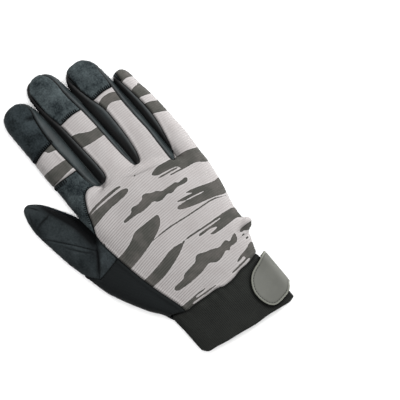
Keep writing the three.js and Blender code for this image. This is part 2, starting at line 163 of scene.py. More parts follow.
handForm = {
    "rows": [
        (-9, -37.2, 39.4, 13.2), (0, -37.6, 40.2, 13.8), (5, -38.6, 42.0, 15.2), (14, -41.5, 45.8, 17.4),
        (21, -43.5, 48.4, 18.6), (29, -44.6, 49.6, 19.8), (36, -45, 50, 20.4), (48, -45, 52.2, 21.2),
        (61.4, -45, 54.8, 21.9), (73.6, -44, 56.4, 22), (87.5, -42.4, 57, 21.4), (112, -42, 57, 20),
    ],
    "turn": 0, "blunt": 2.5, "crown": 2.3, "tipStart": 130, "tip": 150, "tipPower": 2, "rootStart": -30,
    "root": -60,
}
frontEdge = [
    (-60, 100), (-42, 103), (-28, 107), (-13.5, 108.2), (1, 107.5), (16, 105.2), (27, 99.5), (38.6, 91.8),
    (48, 84), (62, 78),
]

fingerForms = {
    "index": {
        "rows": [
            (78, -41.9, -14.2, 18.8), (100, -41.8, -14.2, 17.9), (116, -41.8, -14.1, 16.9),
            (132, -42, -14.1, 15.8), (150, -42, -14.2, 15.4), (166, -42, -14.4, 15.2),
            (178, -41.8, -15.2, 14.6), (189, -41.4, -16.8, 13.8), (197, -40.4, -17.5, 13),
        ],
        "tipStart": 182.5, "tip": 196.6,
    },
    "middle": {
        "rows": [
            (78, -14.6, 14.8, 19.6), (100, -14.6, 14.8, 18.8), (116, -14.6, 14.8, 17.4),
            (132, -14.6, 14.6, 16.2), (150, -14.6, 14.1, 15.8), (166, -14.8, 13.6, 15.6),
            (176, -15.2, 13, 15.2), (184, -14.8, 11.6, 14.8), (193, -14.6, 10.6, 14), (203, -14, 9.5, 13),
        ],
        "tipStart": 189, "tip": 202.2,
    },
    "ring": {
        "rows": [
            (78, 14.2, 41.6, 19), (100, 14.2, 41.6, 17.8), (116, 14.1, 41.6, 16.6), (132, 14, 41.6, 15.6),
            (150, 13.4, 41.4, 15.2), (166, 12.8, 40.8, 15), (176, 12.5, 39.8, 14.6), (183, 13.2, 39, 14.2),
            (190, 15.2, 38, 13),
        ],
        "tipStart": 179.5, "tip": 191.9,
    },
    "little": {
        "rows": [
            (72, 41, 55.6, 17.4), (88, 41, 57.2, 17.4), (100, 40.9, 58, 16.6), (113, 40.9, 57.2, 15.2),
            (125, 41, 57.3, 14.6), (138, 41, 56.4, 14.2), (149, 40.9, 55, 13.8), (158, 40.8, 54.3, 13.2),
            (169, 40.8, 53.4, 12),
        ],
        "tipStart": 158.6, "tip": 167.4,
    },
}
fingerShape = {"turn": 0, "blunt": 2.5, "crown": 2.25, "tipPower": 2.3, "rootStart": 84, "root": 72}

# The thumb's table runs along its own axis, which leans away from the fingers
thumbForm = {
    "rows": [
        (8, -27, -25, 10), (19, -32.8, -25, 13.6), (32, -37, -22, 16), (49, -39.6, -17.4, 17.2),
        (56, -40.6, -14.5, 17), (66, -41.2, -11, 16.2), (80, -38.9, -6.5, 14.8), (94.4, -36.7, -4, 13.4),
        (108.5, -34.2, -3.4, 12.8), (123.3, -31, -4.2, 12.4), (134, -27.6, -6.2, 11.8),
        (141, -24.8, -7.4, 11.2), (150, -21.6, -9.6, 10),
    ],
    "turn": 21, "blunt": 2.5, "crown": 2.2, "tipStart": 131, "tip": 149.8, "tipPower": 2.2, "rootStart": 14,
    "root": 4,
}
edgeBump = {"at": (47.6, 21.6, 8.6), "size": (6.0, 4.4, 6.2)}
widestShare = 0.42  # height of a tube's widest line, of its whole height
tubeShape = {"underFloor": 0.4, "underPower": 5, "rootPower": 2, "whole": 2.4}
skinLook = {
    "low": (-79, -9, -1.5), "high": (63, 208, 25), "cell": 0.69, "quickCell": 1.1, "smoothing": 4,
    "front": 5, "fingers": 3.5, "thumb": 2.2, "bump": 2.5,  # how softly each form runs into the next
    "fingerMargin": 8, "fingersFrom": 60, "thumbTo": -15, "away": 20.0,
}


def tubeField(form, x, y, z):
    turn = math.radians(form["turn"])
    along = (-math.sin(turn) * x + math.cos(turn) * y)[:, :, None]
    across = (math.cos(turn) * x + math.sin(turn) * y)[:, :, None]
    left = tableAt(form["rows"], 1, along)
    right = tableAt(form["rows"], 2, along)
    high = tableAt(form["rows"], 3, along)
    widest = widestShare * high
    u = np.abs(across - (left + right) / 2) / ((right - left) / 2)
    above = np.maximum(z - widest, 0) / (high - widest)
    below = np.maximum(widest - z, 0) / (widest + tubeShape["underFloor"])
    past = np.maximum(along - form["tipStart"], 0) / (form["tip"] - form["tipStart"])
    short = np.maximum(form["rootStart"] - along, 0) / (form["rootStart"] - form["root"])
    total = u ** form["blunt"] + above ** form["crown"] + below ** tubeShape["underPower"]
    total = total + past ** form["tipPower"] + short ** tubeShape["rootPower"]
    return total ** (1 / tubeShape["whole"])


def toDistance(values, cell):
    gx, gy, gz = np.gradient(values, cell)
    slope = np.sqrt(gx * gx + gy * gy + gz * gz)
    return (values - 1) / np.maximum(slope, 0.02)


def softMin(a, b, reach):
    h = np.clip(0.5 + 0.5 * (b - a) / reach, 0, 1)
    return b * (1 - h) + a * h - reach * h * (1 - h)


def gloveField(look, cell):
    xs, ys, zs = (np.arange(low, high, cell) for low, high in zip(look["low"], look["high"]))
    x, y = np.meshgrid(xs, ys, indexing="ij")
    z = zs[None, None, :]
    hand = toDistance(tubeField(handForm, x, y, z), cell)
    front = np.interp(x, [p[0] for p in frontEdge], [p[1] for p in frontEdge])
    hand = -softMin(-hand, -((y - front)[:, :, None] + 0 * z), look["front"])
    fingers = np.full(hand.shape, look["away"])
    for form in fingerForms.values():
        rows = np.array(form["rows"])
        margin = look["fingerMargin"]
        near = (xs > rows[:, 1].min() - margin) & (xs < rows[:, 2].max() + margin)
        part = np.ix_(near, ys > look["fingersFrom"])
        distance = toDistance(tubeField({**fingerShape, **form}, x[part], y[part], z), cell)
        fingers[part] = np.minimum(fingers[part], distance)
    field = softMin(hand, fingers, look["fingers"])
    near = xs < look["thumbTo"]
    thumb = toDistance(tubeField(thumbForm, x[near], y[near], z), cell)
    field[near] = softMin(field[near], thumb, look["thumb"])
    (bx, by, bz), (rx, ry, rz) = edgeBump["at"], edgeBump["size"]
    bump = np.sqrt(((x - bx) / rx)[:, :, None] ** 2 + ((y - by) / ry)[:, :, None] ** 2 + ((z - bz) / rz) ** 2)
    field = softMin(field, toDistance(bump, cell), look["bump"])
    return field.astype(np.float32), np.array([xs[0], ys[0], zs[0]])


def sampleGrid(grid, places):
    low = np.floor(places).astype(int)
    low = np.clip(low, 0, np.array(grid.shape[:3]) - 2)
    f = places - low
    total = 0
    for i in (0, 1):
        for j in (0, 1):
            for k in (0, 1):
                weight = (
                    (f[:, 0] if i else 1 - f[:, 0])
                    * (f[:, 1] if j else 1 - f[:, 1])
                    * (f[:, 2] if k else 1 - f[:, 2])
                )
                value = grid[low[:, 0] + i, low[:, 1] + j, low[:, 2] + k]
                total = total + (weight[:, None] * value if value.ndim > 1 else weight * value)
    return total


def neighbourMean(points, edges):
    sums = np.zeros_like(points)
    meets = np.zeros(len(points))
    for a, b in ((0, 1), (1, 0)):
        meets += np.bincount(edges[:, a], minlength=len(points))
        for k in range(3):
            sums[:, k] += np.bincount(edges[:, a], weights=points[edges[:, b], k], minlength=len(points))
    return sums / np.maximum(meets, 1)[:, None]


def triEdges(tris):
    return np.concatenate([tris[:, [0, 1]], tris[:, [1, 2]], tris[:, [2, 0]]])


def surfaceNet(field, start, cell, rounds):
    cells = np.array(field.shape) - 1
    slots = int(np.prod(cells))
    total = np.zeros((slots, 3))
    count = np.zeros(slots)
    quads = []
    for axis in range(3):
        near = [slice(None)] * 3
        far = [slice(None)] * 3
        near[axis] = slice(0, -1)
        far[axis] = slice(1, None)
        a, b = field[tuple(near)], field[tuple(far)]
        edges = np.argwhere((a < 0) != (b < 0))
        u, v = (axis + 1) % 3, (axis + 2) % 3
        fits = (edges[:, u] > 0) & (edges[:, v] > 0) & (edges[:, u] < cells[u]) & (edges[:, v] < cells[v])
        edges = edges[fits]
        av, bv = a[tuple(edges.T)], b[tuple(edges.T)]
        place = edges.astype(float)
        place[:, axis] += av / (av - bv)
        corners = []
        for du, dv in ((0, 0), (-1, 0), (-1, -1), (0, -1)):
            corner = edges.copy()
            corner[:, u] += du
            corner[:, v] += dv
            corners.append(np.ravel_multi_index(corner.T, cells))
        for corner in corners:
            count += np.bincount(corner, minlength=slots)
            for k in range(3):
                total[:, k] += np.bincount(corner, weights=place[:, k], minlength=slots)
        ring = np.stack(corners, axis=1)
        quads.append(np.where((av < 0)[:, None], ring, ring[:, ::-1]))
    used = count > 0
    index = np.cumsum(used) - 1
    points = total[used] / count[used, None]
    quads = index[np.concatenate(quads)]
    gradient = np.stack(np.gradient(field), axis=-1)
    edges = np.concatenate([quads[:, [0, 1]], quads[:, [1, 2]], quads[:, [2, 3]], quads[:, [3, 0]]])
    for _ in range(rounds):
        points = 0.5 * points + 0.5 * neighbourMean(points, edges)
        way = sampleGrid(gradient, points)
        away = sampleGrid(field, points)
        points = points - np.clip(away / np.maximum((way**2).sum(1), 1e-3), -1, 1)[:, None] * way
    way = sampleGrid(gradient, points)
    normals = way / np.linalg.norm(way, axis=1)[:, None]
    d02 = np.linalg.norm(points[quads[:, 0]] - points[quads[:, 2]], axis=1)
    d13 = np.linalg.norm(points[quads[:, 1]] - points[quads[:, 3]], axis=1)
    short = (d02 < d13)[:, None]
    first = np.where(short, quads[:, [0, 1, 2]], quads[:, [0, 1, 3]])
    second = np.where(short, quads[:, [0, 2, 3]], quads[:, [1, 2, 3]])
    return {"points": points * cell + start, "normals": normals, "tris": np.concatenate([first, second])}


def compact(mesh, tris):
    used = np.unique(tris)
    index = np.zeros(len(mesh["points"]), int)
    index[used] = np.arange(len(used))
    return {
        "points": mesh["points"][used],
        "normals": mesh["normals"][used],
        "tris": index[tris],
    }


def cutMesh(mesh, values, snap=0.09):
    values = np.where(np.abs(values) < snap, 0, values)
    tris = mesh["tris"]
    ends = np.stack([tris, np.roll(tris, -1, axis=1)], axis=2).reshape(-1, 2)
    crosses = values[ends[:, 0]] * values[ends[:, 1]] < 0
    pairs, which = np.unique(np.sort(ends[crosses], axis=1), axis=0, return_inverse=True)
    a, b = values[pairs[:, 0]], values[pairs[:, 1]]
    share = (a / (a - b))[:, None]
    points = mesh["points"][pairs[:, 0]] * (1 - share) + mesh["points"][pairs[:, 1]] * share
    normals = mesh["normals"][pairs[:, 0]] * (1 - share) + mesh["normals"][pairs[:, 1]] * share
    normals /= np.maximum(np.linalg.norm(normals, axis=1), 1e-9)[:, None]
    base = len(mesh["points"])
    middle = np.full(len(ends), -1)
    middle[crosses] = base + which.reshape(-1)
    middle = middle.reshape(-1, 3)
    cut = (middle >= 0).sum(1)
    made = [tris[cut == 0]]
    one, mid = tris[cut == 1], middle[cut == 1]
    if len(one):
        turn = np.argmax(mid >= 0, axis=1)
        pick = (turn[:, None] + np.arange(3)) % 3
        one = np.take_along_axis(one, pick, 1)
        m = np.take_along_axis(mid, pick, 1)[:, 0]
        made += [np.stack([one[:, 0], m, one[:, 2]], 1), np.stack([m, one[:, 1], one[:, 2]], 1)]
    two, mid = tris[cut == 2], middle[cut == 2]
    if len(two):
        turn = (np.argmin(mid >= 0, axis=1) + 2) % 3
        pick = (turn[:, None] + np.arange(3)) % 3
        two = np.take_along_axis(two, pick, 1)
        mid = np.take_along_axis(mid, pick, 1)
        m, n = mid[:, 0], mid[:, 2]
        made += [
            np.stack([two[:, 0], m, n], 1),
            np.stack([m, two[:, 1], two[:, 2]], 1),
            np.stack([m, two[:, 2], n], 1),
        ]
    tris = np.concatenate(made)
    whole = {
        "points": np.vstack([mesh["points"], points]),
        "normals": np.vstack([mesh["normals"], normals]),
        "tris": tris,
    }
    values = np.concatenate([values, np.zeros(len(points))])
    return whole, values[tris].sum(1) < 0


def splitMesh(mesh, values, snap=0.09):
    whole, within = cutMesh(mesh, values, snap)
    return compact(whole, whole["tris"][within]), compact(whole, whole["tris"][~within])


def boundaryEdges(tris):
    ends = triEdges(tris)
    key = np.sort(ends, axis=1)
    _, first, count = np.unique(key, axis=0, return_index=True, return_counts=True)
    return ends[first[count == 1]]


def distanceTo(places, points):
    tree = KDTree(len(points))
    for i, p in enumerate(points):
        tree.insert(p, i)
    tree.balance()
    return np.array([tree.find(p)[2] for p in places])


print("tools ready")

# The photograph's pixels, turned into millimetres on the glove

chart = {"across": 214.0, "down": 289.0, "size": 0.73, "turn": 40.0}


def onGlove(pixels):
    turn = math.radians(chart["turn"])
    points = np.array(pixels, float)
    dx = points[:, 0] - chart["across"]
    dy = points[:, 1] - chart["down"]
    x = chart["size"] * (dx * math.cos(turn) - dy * math.sin(turn))
    y = chart["size"] * (-dx * math.sin(turn) - dy * math.cos(turn))
    return np.stack([x, y], axis=1)

# Seams and panel outlines, charted on the glove in millimetres

knitSeam = [
    (-17.6, 113.4), (-22, 114.6), (-26.5, 113.6), (-30.4, 109.4), (-34.2, 102), (-37, 94.4), (-39.4, 88.8),
    (-41.3, 84.6), (-41, 75), (-39.4, 62), (-37.5, 51), (-35.2, 38), (-33, 28), (-29.2, 15), (-26.7, 6.5),
    (-26.1, -0.4), (-26, -12),
]
wristPixels = [
    (187, 311), (192, 306.8), (200, 300.8), (207, 295.6), (213, 291), (218, 287.7), (224.5, 286),
    (229, 282.2), (234, 278), (236.5, 274.5), (240, 270), (244, 266.5), (249, 262.5), (253.5, 257),
]
wristSeam = [(-60, 7), (-37, 5.5), (-30, 2.4)] + onGlove(wristPixels).tolist() + [(60, 6)]
patchTop = [(-48, 132), (-38, 131.8), (-30, 131.3), (-22, 130.6), (-14, 130.2)]
capSeams = {
    "index": [(-50, 152), (-41.6, 153.3), (-32, 155.8), (-22.6, 156.9), (-10, 157.5)],
    "middle": [(-20, 161.8), (-9.2, 162.6), (1, 163.4), (10.2, 162.2), (18, 161.5)],
    "ring": [(14, 160.6), (21.2, 161.4), (30, 162), (38.8, 160.6), (46, 160)],
}
sideSeams = {
    "indexRight": [
        (-18.2, 115.4), (-20, 121.6), (-21, 131), (-22.3, 145), (-22.8, 155), (-22, 166.2), (-20.7, 176),
        (-19.8, 179.6), (-18.7, 183.3), (-18.2, 187.4), (-19.2, 190.8), (-21.4, 194), (-24, 197),
    ],
    "middleLeft": [
        (-8.2, 112.8), (-6.9, 116), (-6.9, 125), (-7.7, 140.4), (-8.4, 152), (-9.4, 162.6), (-11.6, 174),
        (-13, 183), (-13.2, 190), (-12, 195.6), (-9, 199.6), (-4, 203),
    ],
    "middleRight": [
        (13.4, 109.4), (12, 121), (11, 136.6), (11, 147), (10.2, 161.7), (9.2, 170), (8.5, 178), (8.9, 189),
        (7.6, 196), (4, 201),
    ],
    "ringLeft": [
        (19, 107.4), (20.8, 112), (22.6, 124), (23.5, 137), (23.7, 149.6), (22.4, 156.6), (20.6, 161.7),
        (17.8, 173), (16.2, 182), (17, 187.6), (20.6, 192),
    ],
    "ringRight": [
        (37, 96), (37.4, 105), (38, 117), (37.8, 129), (37.1, 148), (38, 157), (38.8, 166.7), (38.8, 179.6),
        (39.6, 190),
    ],
    "littleLeft": [
        (40.4, 92.6), (42.4, 99), (44.6, 109), (46.8, 119), (47.8, 129), (47.6, 138), (46.5, 149),
        (45.3, 156.7), (43.8, 165), (42, 172),
    ],
}
stripLoops = {
    "index_middle": [(-18.2, 115.4), (-16.8, 112.4), (-14.2, 110.9), (-11, 110.9), (-8.2, 112.8)],
    "middle_ring": [(13.4, 109.4), (13.9, 106.6), (15.6, 105.4), (17.6, 105.8), (19, 107.4)],
    "ring_little": [(37, 96), (37, 92.8), (38, 90.8), (39.4, 90.8), (40.4, 92.6)],
}
fingerTip = 212.0


def stripOutline(right, left, loop):
    right = smoothLine(right)
    left = smoothLine(left)
    loop = smoothLine(loop)
    cap = [(left[-1][0] + 1, fingerTip), (right[-1][0] - 1, fingerTip)]
    return np.vstack([loop, left[1:], cap, right[::-1][:-1]])


def beyond(seam):
    line = smoothLine(seam)
    return np.vstack([line, [(line[-1][0], fingerTip), (line[0][0], fingerTip)]])


thumbSeam = [(-82, 119.2), (-70.4, 105.2), (-58, 90.6), (-47.6, 76.2), (-44, 71)]
rootPatch = [
    (-43.9, 82.6), (-45, 78.7), (-51.8, 69.2), (-55.6, 64.4), (-59.6, 58.8), (-58.8, 58.1), (-47, 60.2),
    (-38.6, 62.4), (-38, 72), (-39.4, 80), (-41.2, 85),
]
gussetBack = [(-90, 69), (-67, 69), (-62.8, 63), (-58.4, 58), (-49, 60), (-40.6, 62)]
gussetPalm = [
    (-90, 69), (-66.5, 69), (-57, 63.8), (-49.5, 51), (-42, 38), (-34.5, 25), (-29, 13.2), (-26.6, 6),
    (-25, -0.4), (-25, -12),
]
thumbPalmSeam = [(-57, 63.8), (-51, 71.5), (-45.5, 78.1), (-42.9, 82), (-42.9, 104)]
thumbBack = [(-43.5, 150), (-43, 104), (-42.6, 96), (-41.8, 88), (-41.3, 84.6)]
sideSeamHeight = 5.0  # the palm's cloth comes up to here
palmTop = 3.0  # creases of the palm stay under this


def panelsOf(mesh):
    made = {}
    high = mesh["points"][:, 2]
    under, over = splitMesh(mesh, high - sideSeamHeight)

    def take(name, rest, outline):
        part, rest = splitMesh(rest, outlineDistance(rest["points"], outline))
        made[name] = part
        return rest

    knit = smoothLine(knitSeam)
    over = take("fourchette_index_middle", over,
                stripOutline(sideSeams["indexRight"], sideSeams["middleLeft"], stripLoops["index_middle"]))
    over = take("fourchette_middle_ring", over,
                stripOutline(sideSeams["middleRight"], sideSeams["ringLeft"], stripLoops["middle_ring"]))
    over = take("fourchette_ring_little", over,
                stripOutline(sideSeams["ringRight"], sideSeams["littleLeft"], stripLoops["ring_little"]))
    byThumb = np.vstack([smoothLine(thumbBack), knit[knit[:, 1] < 84], [(-100, -12), (-100, 150)]])
    thumb, over = splitMesh(over, outlineDistance(over["points"], byThumb))
    over = take("index_tip_cap", over, np.vstack([smoothLine(capSeams["index"])[:-1],
                                                  [(-12, 157.4), (-12, fingerTip), (-50, fingerTip)]]))
    over = take("middle_tip_cap", over, beyond(capSeams["middle"]))
    over = take("ring_tip_cap", over, beyond(capSeams["ring"]))
    over = take("index_knuckle_panel", over, np.vstack([smoothLine(patchTop), [(-12, 170), (-48, 170)]]))
    over = take("index_base_patch", over, np.vstack([[(-60, 84)], [(-60, 140)], [(-10, 140)],
                                                     [(-10, 113)], knit[knit[:, 1] > 84]]))
    made["back_panel"] = over
    thumb = take("thumb_root_patch", thumb, smoothOutline(rootPatch))
    thumb = take("gusset_back", thumb, np.vstack([gussetBack, [(-20, 64), (-20, -14), (-90, -14)]]))
    upper = np.vstack([smoothLine(thumbSeam), [(-30, 71), (-30, 170), (-100, 170), (-100, 119)]])
    thumb = take("thumb_tip_panel", thumb, upper)
    made["thumb_base_panel"] = thumb

    under = take("gusset_palm", under, np.vstack([smoothLine(gussetPalm), [(-90, -14)]]))
    front = np.vstack([[(-100, 69), (-66.5, 69)], smoothLine(thumbPalmSeam, 1), [(-43.4, 150), (-100, 150)]])
    under = take("thumb_front_panel", under, front)
    made["palm_panel"] = under
    return made

# Camouflage print, charted: each place is a pixel of the photograph, turned into millimetres below

camoPatches = {
    "besideThumb": [
        (82, 226), (89.3, 217.4), (95.2, 211.9), (100, 207.7), (107.1, 201.7), (114.3, 195.6),
        (121.3, 190.5), (125.7, 188.5), (128.8, 188.5), (129.2, 190.8), (127, 194.8), (118.9, 202),
        (110, 209.6), (96.4, 225.9), (88, 236),
    ],
    "ridge": [
        (123.8, 221.6), (125.6, 223.4), (129.2, 220.7), (136.8, 214.9), (143, 211.8), (148.4, 206.9),
        (153.8, 201.1), (159.1, 202), (163.6, 199.3), (168, 193.5), (172.5, 193.5), (176.1, 188.6),
        (178.8, 186.3), (184.1, 184.1), (187.7, 181.4), (187.7, 178.3), (185.4, 177.1), (181.4, 180.5),
        (177.9, 183.2), (175.6, 182.1), (171.6, 185), (166.3, 188.6), (161.8, 191.7), (157.3, 190.8),
        (152, 193), (144.4, 193.9), (142.3, 196.6), (143, 199.3), (138.6, 204.6), (133.2, 206.9),
        (131.9, 209.1), (131.9, 213.6), (127.9, 217.1),
    ],
    "leaf": [
        (111, 266), (118.8, 258), (125, 251.8), (131.9, 241.3), (134.1, 234.1), (137.7, 229.6),
        (145.7, 223.4), (152.9, 217.6), (158.2, 214), (160.4, 218), (160.9, 223.4), (158.7, 230.5),
        (154.6, 238.6), (142.9, 255.4), (131.3, 268.8), (123, 277),
    ],
    "knuckles": [
        (152, 174.7), (153.8, 171.2), (158.2, 166.3), (164.5, 162.9), (170.7, 160), (177, 156.9),
        (183.2, 152.4), (190.4, 149.3), (196.2, 147.9), (202, 144), (212, 160), (204.6, 162.4),
        (198.4, 161.8), (193, 163.8), (187.7, 167.1), (183.4, 169.6), (180.4, 168.2), (178.4, 166.8),
        (174.5, 167.6), (166.5, 171.4), (159.4, 175.2), (156, 176), (152.6, 175.8),
    ],
    "underKnuckles": [
        (218, 177.4), (226, 174), (234, 188), (226.1, 192), (224.7, 193.9), (215.4, 196.2), (208.2, 199.3),
        (199.3, 203.3), (190.4, 206.9), (181.4, 209.6), (177.4, 209.1), (177.9, 206.4), (182.5, 203.2),
        (187.5, 199.8), (180.5, 201.8), (176.1, 202), (184.6, 196.8), (194, 192.6), (188, 193),
        (184.6, 193.5), (188.6, 190.8), (195.7, 187.7), (204.6, 184.6), (213.6, 181.4),
    ],
    "littleSide": [
        (184, 241.6), (188, 236.4), (194, 232.2), (200, 228.4), (210, 221.6), (220, 214.6), (230, 208.2),
        (234, 207), (237.5, 208), (246, 213), (248.5, 216.4), (244, 217.8), (238.5, 217), (235, 218.4),
        (231, 221.6), (226, 225.6), (221, 229.4), (216.5, 232.4), (212.5, 234.2), (209.2, 234.2),
        (212, 232), (215.4, 229.2), (217.4, 226.2), (213, 227.2), (209.5, 229), (205.5, 232.2),
        (201, 235.6), (198.6, 236), (199, 233.8), (203, 230.8), (208, 227.4), (213.6, 223.4), (220.6, 218),
        (219.4, 217.6), (212.4, 222.4), (206, 226.6), (199.6, 230.8), (194, 234.4), (188.6, 238.2),
    ],
    "wristFold": [
        (240, 231.8), (239.8, 229.6), (244, 226), (249, 222), (254, 219.5), (254, 225), (250.4, 229.4),
        (247.4, 230.2), (244, 230.6), (241.8, 232.2),
    ],
    "lowLeaf": [
        (183.9, 241.1), (171.4, 248.2), (160.7, 262.5), (151.8, 273.2), (143.8, 280.4), (138, 286),
        (147, 293), (153.6, 286.6), (166, 275), (176.8, 258.9), (183, 246.4),
    ],
    "lowRidge": [
        (174.4, 289.3), (177.8, 290.8), (183.5, 287.4), (191.1, 281.7), (201.7, 272.1), (207.4, 264.4),
        (209.3, 262.1), (216, 262.1), (220.8, 258.7), (224.2, 253), (225.6, 250.1), (230.4, 250.1),
        (229.9, 246.3), (236.1, 242.9), (237.6, 238.6), (235.2, 232.9), (233.3, 233.3), (230.9, 238.6),
        (229.4, 241.5), (225.6, 239.6), (222.7, 242.4), (219.4, 247.2), (211.2, 248.7), (204.5, 252),
        (198.8, 253), (195.5, 255.8), (195.5, 261.6), (191.1, 266.4), (184.4, 273.1), (183.5, 278.8),
        (177.8, 283.6), (174.9, 286.5),
    ],
    "wristCorner": [
        (178, 309.6), (181, 306.4), (186, 302.6), (192, 297.8), (196, 294), (200.6, 290.4), (205.8, 287),
        (204.4, 289.4), (200.4, 292.4), (196.8, 295), (195.6, 297), (197, 297.2), (203, 293.2),
        (209, 288.6), (216.8, 283.4), (215.4, 285.6), (208, 291.4), (200, 297.2), (193.6, 301.4),
        (192.2, 304.2), (196, 302.6), (203, 297.6), (208, 294.2), (204, 299), (192, 312), (184, 316),
    ],
    "wristSide": [
        (248.6, 243.4), (252, 241), (258, 248), (256, 262), (246, 270), (243, 272), (246, 264.6),
        (249.6, 260), (250, 257.6), (248, 258.2), (243, 263.6), (238, 268.4), (232.4, 273.2), (231.8, 272),
        (235, 268.8), (240, 263.8), (245.4, 258.6), (244.8, 256.2), (243, 256.4), (239.6, 260.6),
        (237.2, 262.2), (237.2, 260), (240, 255.6), (243.4, 251.8), (247, 247.6),
    ],
    "besideStroke": [
        (87, 218), (90.9, 212), (94.5, 207.2), (101.8, 200.2), (109, 193.6), (116.3, 187.8), (120.8, 186),
        (122, 187.2), (118.7, 189.2), (112.7, 194.6), (106.6, 199.6), (99.4, 206), (94.3, 211.4), (90, 217),
    ],
    "tack": [(104, 243.4), (105.6, 242.8), (106.8, 245.6), (105.4, 246.6)],
    "indexPatch": [
        (40, 153), (43.3, 150.6), (51.8, 144.4), (55, 142.6), (59.5, 149), (55.4, 151.1), (48.7, 153.8),
        (46.4, 152),
    ],
    "indexBand": [
        (40, 180), (44.2, 176.5), (48.2, 172.9), (55.4, 167.1), (62.5, 162.2), (67, 159.6), (70, 157.5),
        (78, 165), (74.1, 167.6), (67.9, 173.4), (62.5, 178.8), (57.1, 183.7), (50, 190),
    ],
    "middleBand": [
        (66, 139.2), (71.4, 137.2), (77.7, 134.1), (84.8, 133.2), (91.1, 131.9), (94.6, 129.6),
        (97.8, 127.4), (101, 125.6), (107.4, 133.8), (104, 135.9), (97.3, 140.4), (90.2, 144.8),
        (83, 148.4), (77, 152),
    ],
    "ringBand": [
        (97, 107.2), (99.1, 104.2), (101.8, 99.3), (106.3, 95.3), (111.6, 92.6), (116.1, 92.1), (119, 91.8),
        (125.4, 100), (122.3, 100.4), (117, 101.5), (111.6, 102.9), (108.5, 106.4), (106.7, 111.3),
        (105, 114.5),
    ],
    "littleTip": [
        (110, 60), (150, 60), (152, 78), (141, 77.5), (133.9, 76.1), (128.6, 77.4), (124.6, 80.1),
        (122.3, 83.2), (116, 90),
    ],
    "littleUpper": [
        (128, 95), (132.1, 90.4), (133.9, 87.7), (138.4, 84.1), (137, 79.4), (143, 76), (156, 91.5),
        (150, 94), (145, 95.8), (140, 98), (136, 102),
    ],
    "littleLower": [
        (142, 107), (145, 104), (151, 101.4), (157, 100.5), (164, 99), (172, 110), (166, 111), (159, 112.6),
        (153.6, 114), (149, 117),
    ],
}
camoStrokes = [
    {"wide": 1.1, "line": [
        (153, 241), (160.4, 234.4), (170.4, 226.6), (186.8, 216.3), (199.3, 208), (210, 200.6),
        (215.4, 198.2), (226.3, 195.4),
    ]},
    {"wide": 1.2, "line": [(158.2, 178.6), (163, 176), (167.3, 173.6), (172, 170.8), (179, 167.4)]},
    {"wide": 1.1, "line": [(169.6, 175.8), (174.1, 173.5), (179, 170.8), (184.5, 168)]},
    {"wide": 1.3, "line": [(182.8, 243.4), (184.6, 240.2)]},
    {"wide": 1.0, "line": [(134.4, 176.6), (136.2, 175.4)]},
    {"wide": 1.1, "line": [(242, 235.6), (244.6, 233.4)]},
    {"wide": 1.3, "line": [(246, 238.6), (248.4, 236.4)]},
]
camoCuts = [
    {"wide": 0.9, "line": [(186, 200.5), (192.5, 197), (203.5, 191.5)]},
    {"wide": 0.9, "line": [(136.4, 78.6), (139.6, 83.6)]},
]


def strokeDistance(places, stroke):
    away, share, _ = lineDistance(places, onGlove(stroke["line"]))
    taper = np.clip(np.minimum(share, 1 - share) * 7, 0.25, 1)
    return away - stroke["wide"] / 2 * taper


def camoDistance(places):
    dark = np.full(len(places), 1e9)
    for outline in camoPatches.values():
        dark = np.minimum(dark, outlineDistance(places, smoothOutline(onGlove(outline))))
    for stroke in camoStrokes:
        dark = np.minimum(dark, strokeDistance(places, stroke))
    for stroke in camoCuts:
        dark = np.maximum(dark, -strokeDistance(places, stroke))
    return dark


def scoreCamo(mesh):
    low = mesh["points"].min(0) - 2
    high = mesh["points"].max(0) + 2
    for outline in camoPatches.values():
        line = smoothOutline(onGlove(outline))
        if (line.min(0) < high[:2]).all() and (line.max(0) > low[:2]).all():
            mesh, _ = cutMesh(mesh, outlineDistance(mesh["points"], line), 0.06)
    for stroke in camoStrokes + camoCuts:
        line = onGlove(stroke["line"])
        if (line.min(0) < high[:2]).all() and (line.max(0) > low[:2]).all():
            away, share, side = lineDistance(mesh["points"], line)
            nearIt = np.where(away < 3, away * side, 3)
            mesh, _ = cutMesh(mesh, nearIt, 0.02)
            mesh, _ = cutMesh(mesh, strokeDistance(mesh["points"], stroke), 0.02)
    return mesh

# Finishes: shader node groups that several materials share


def place(tree, kind, inputs=(), **settings):
    made = tree.nodes.new(kind)
    for name, value in settings.items():
        setattr(made, name, value)
    for socket, value in dict(inputs).items():
        if isinstance(value, bpy.types.NodeSocket):
            tree.links.new(value, made.inputs[socket])
        else:
            made.inputs[socket].default_value = value
    return made


def calc(tree, operation, a, b=0.0, c=0.0):
    return place(tree, "ShaderNodeMath", {0: a, 1: b, 2: c}, operation=operation).outputs[0]


def mixColour(tree, share, a, b):
    made = place(tree, "ShaderNodeMix", {0: share, 6: a, 7: b}, data_type="RGBA")
    return made.outputs[2]  # 6, 7 and this one are the node's colour sockets


def ramp(tree, value, low, high, start=0.0, end=1.0):
    made = place(tree, "ShaderNodeMapRange", {0: value, 1: low, 2: high, 3: start, 4: end})
    return made.outputs[0]


def noiseAt(tree, where, size, detail=2.0, rough=0.5):
    made = place(tree, "ShaderNodeTexNoise", {"Vector": where, "Scale": size, "Detail": detail,
                                              "Roughness": rough})
    return made.outputs[0]


def objectPlace(tree):
    return place(tree, "ShaderNodeTexCoord").outputs["Object"]


def vertexValue(tree, label):
    return place(tree, "ShaderNodeAttribute", attribute_name=label).outputs["Fac"]


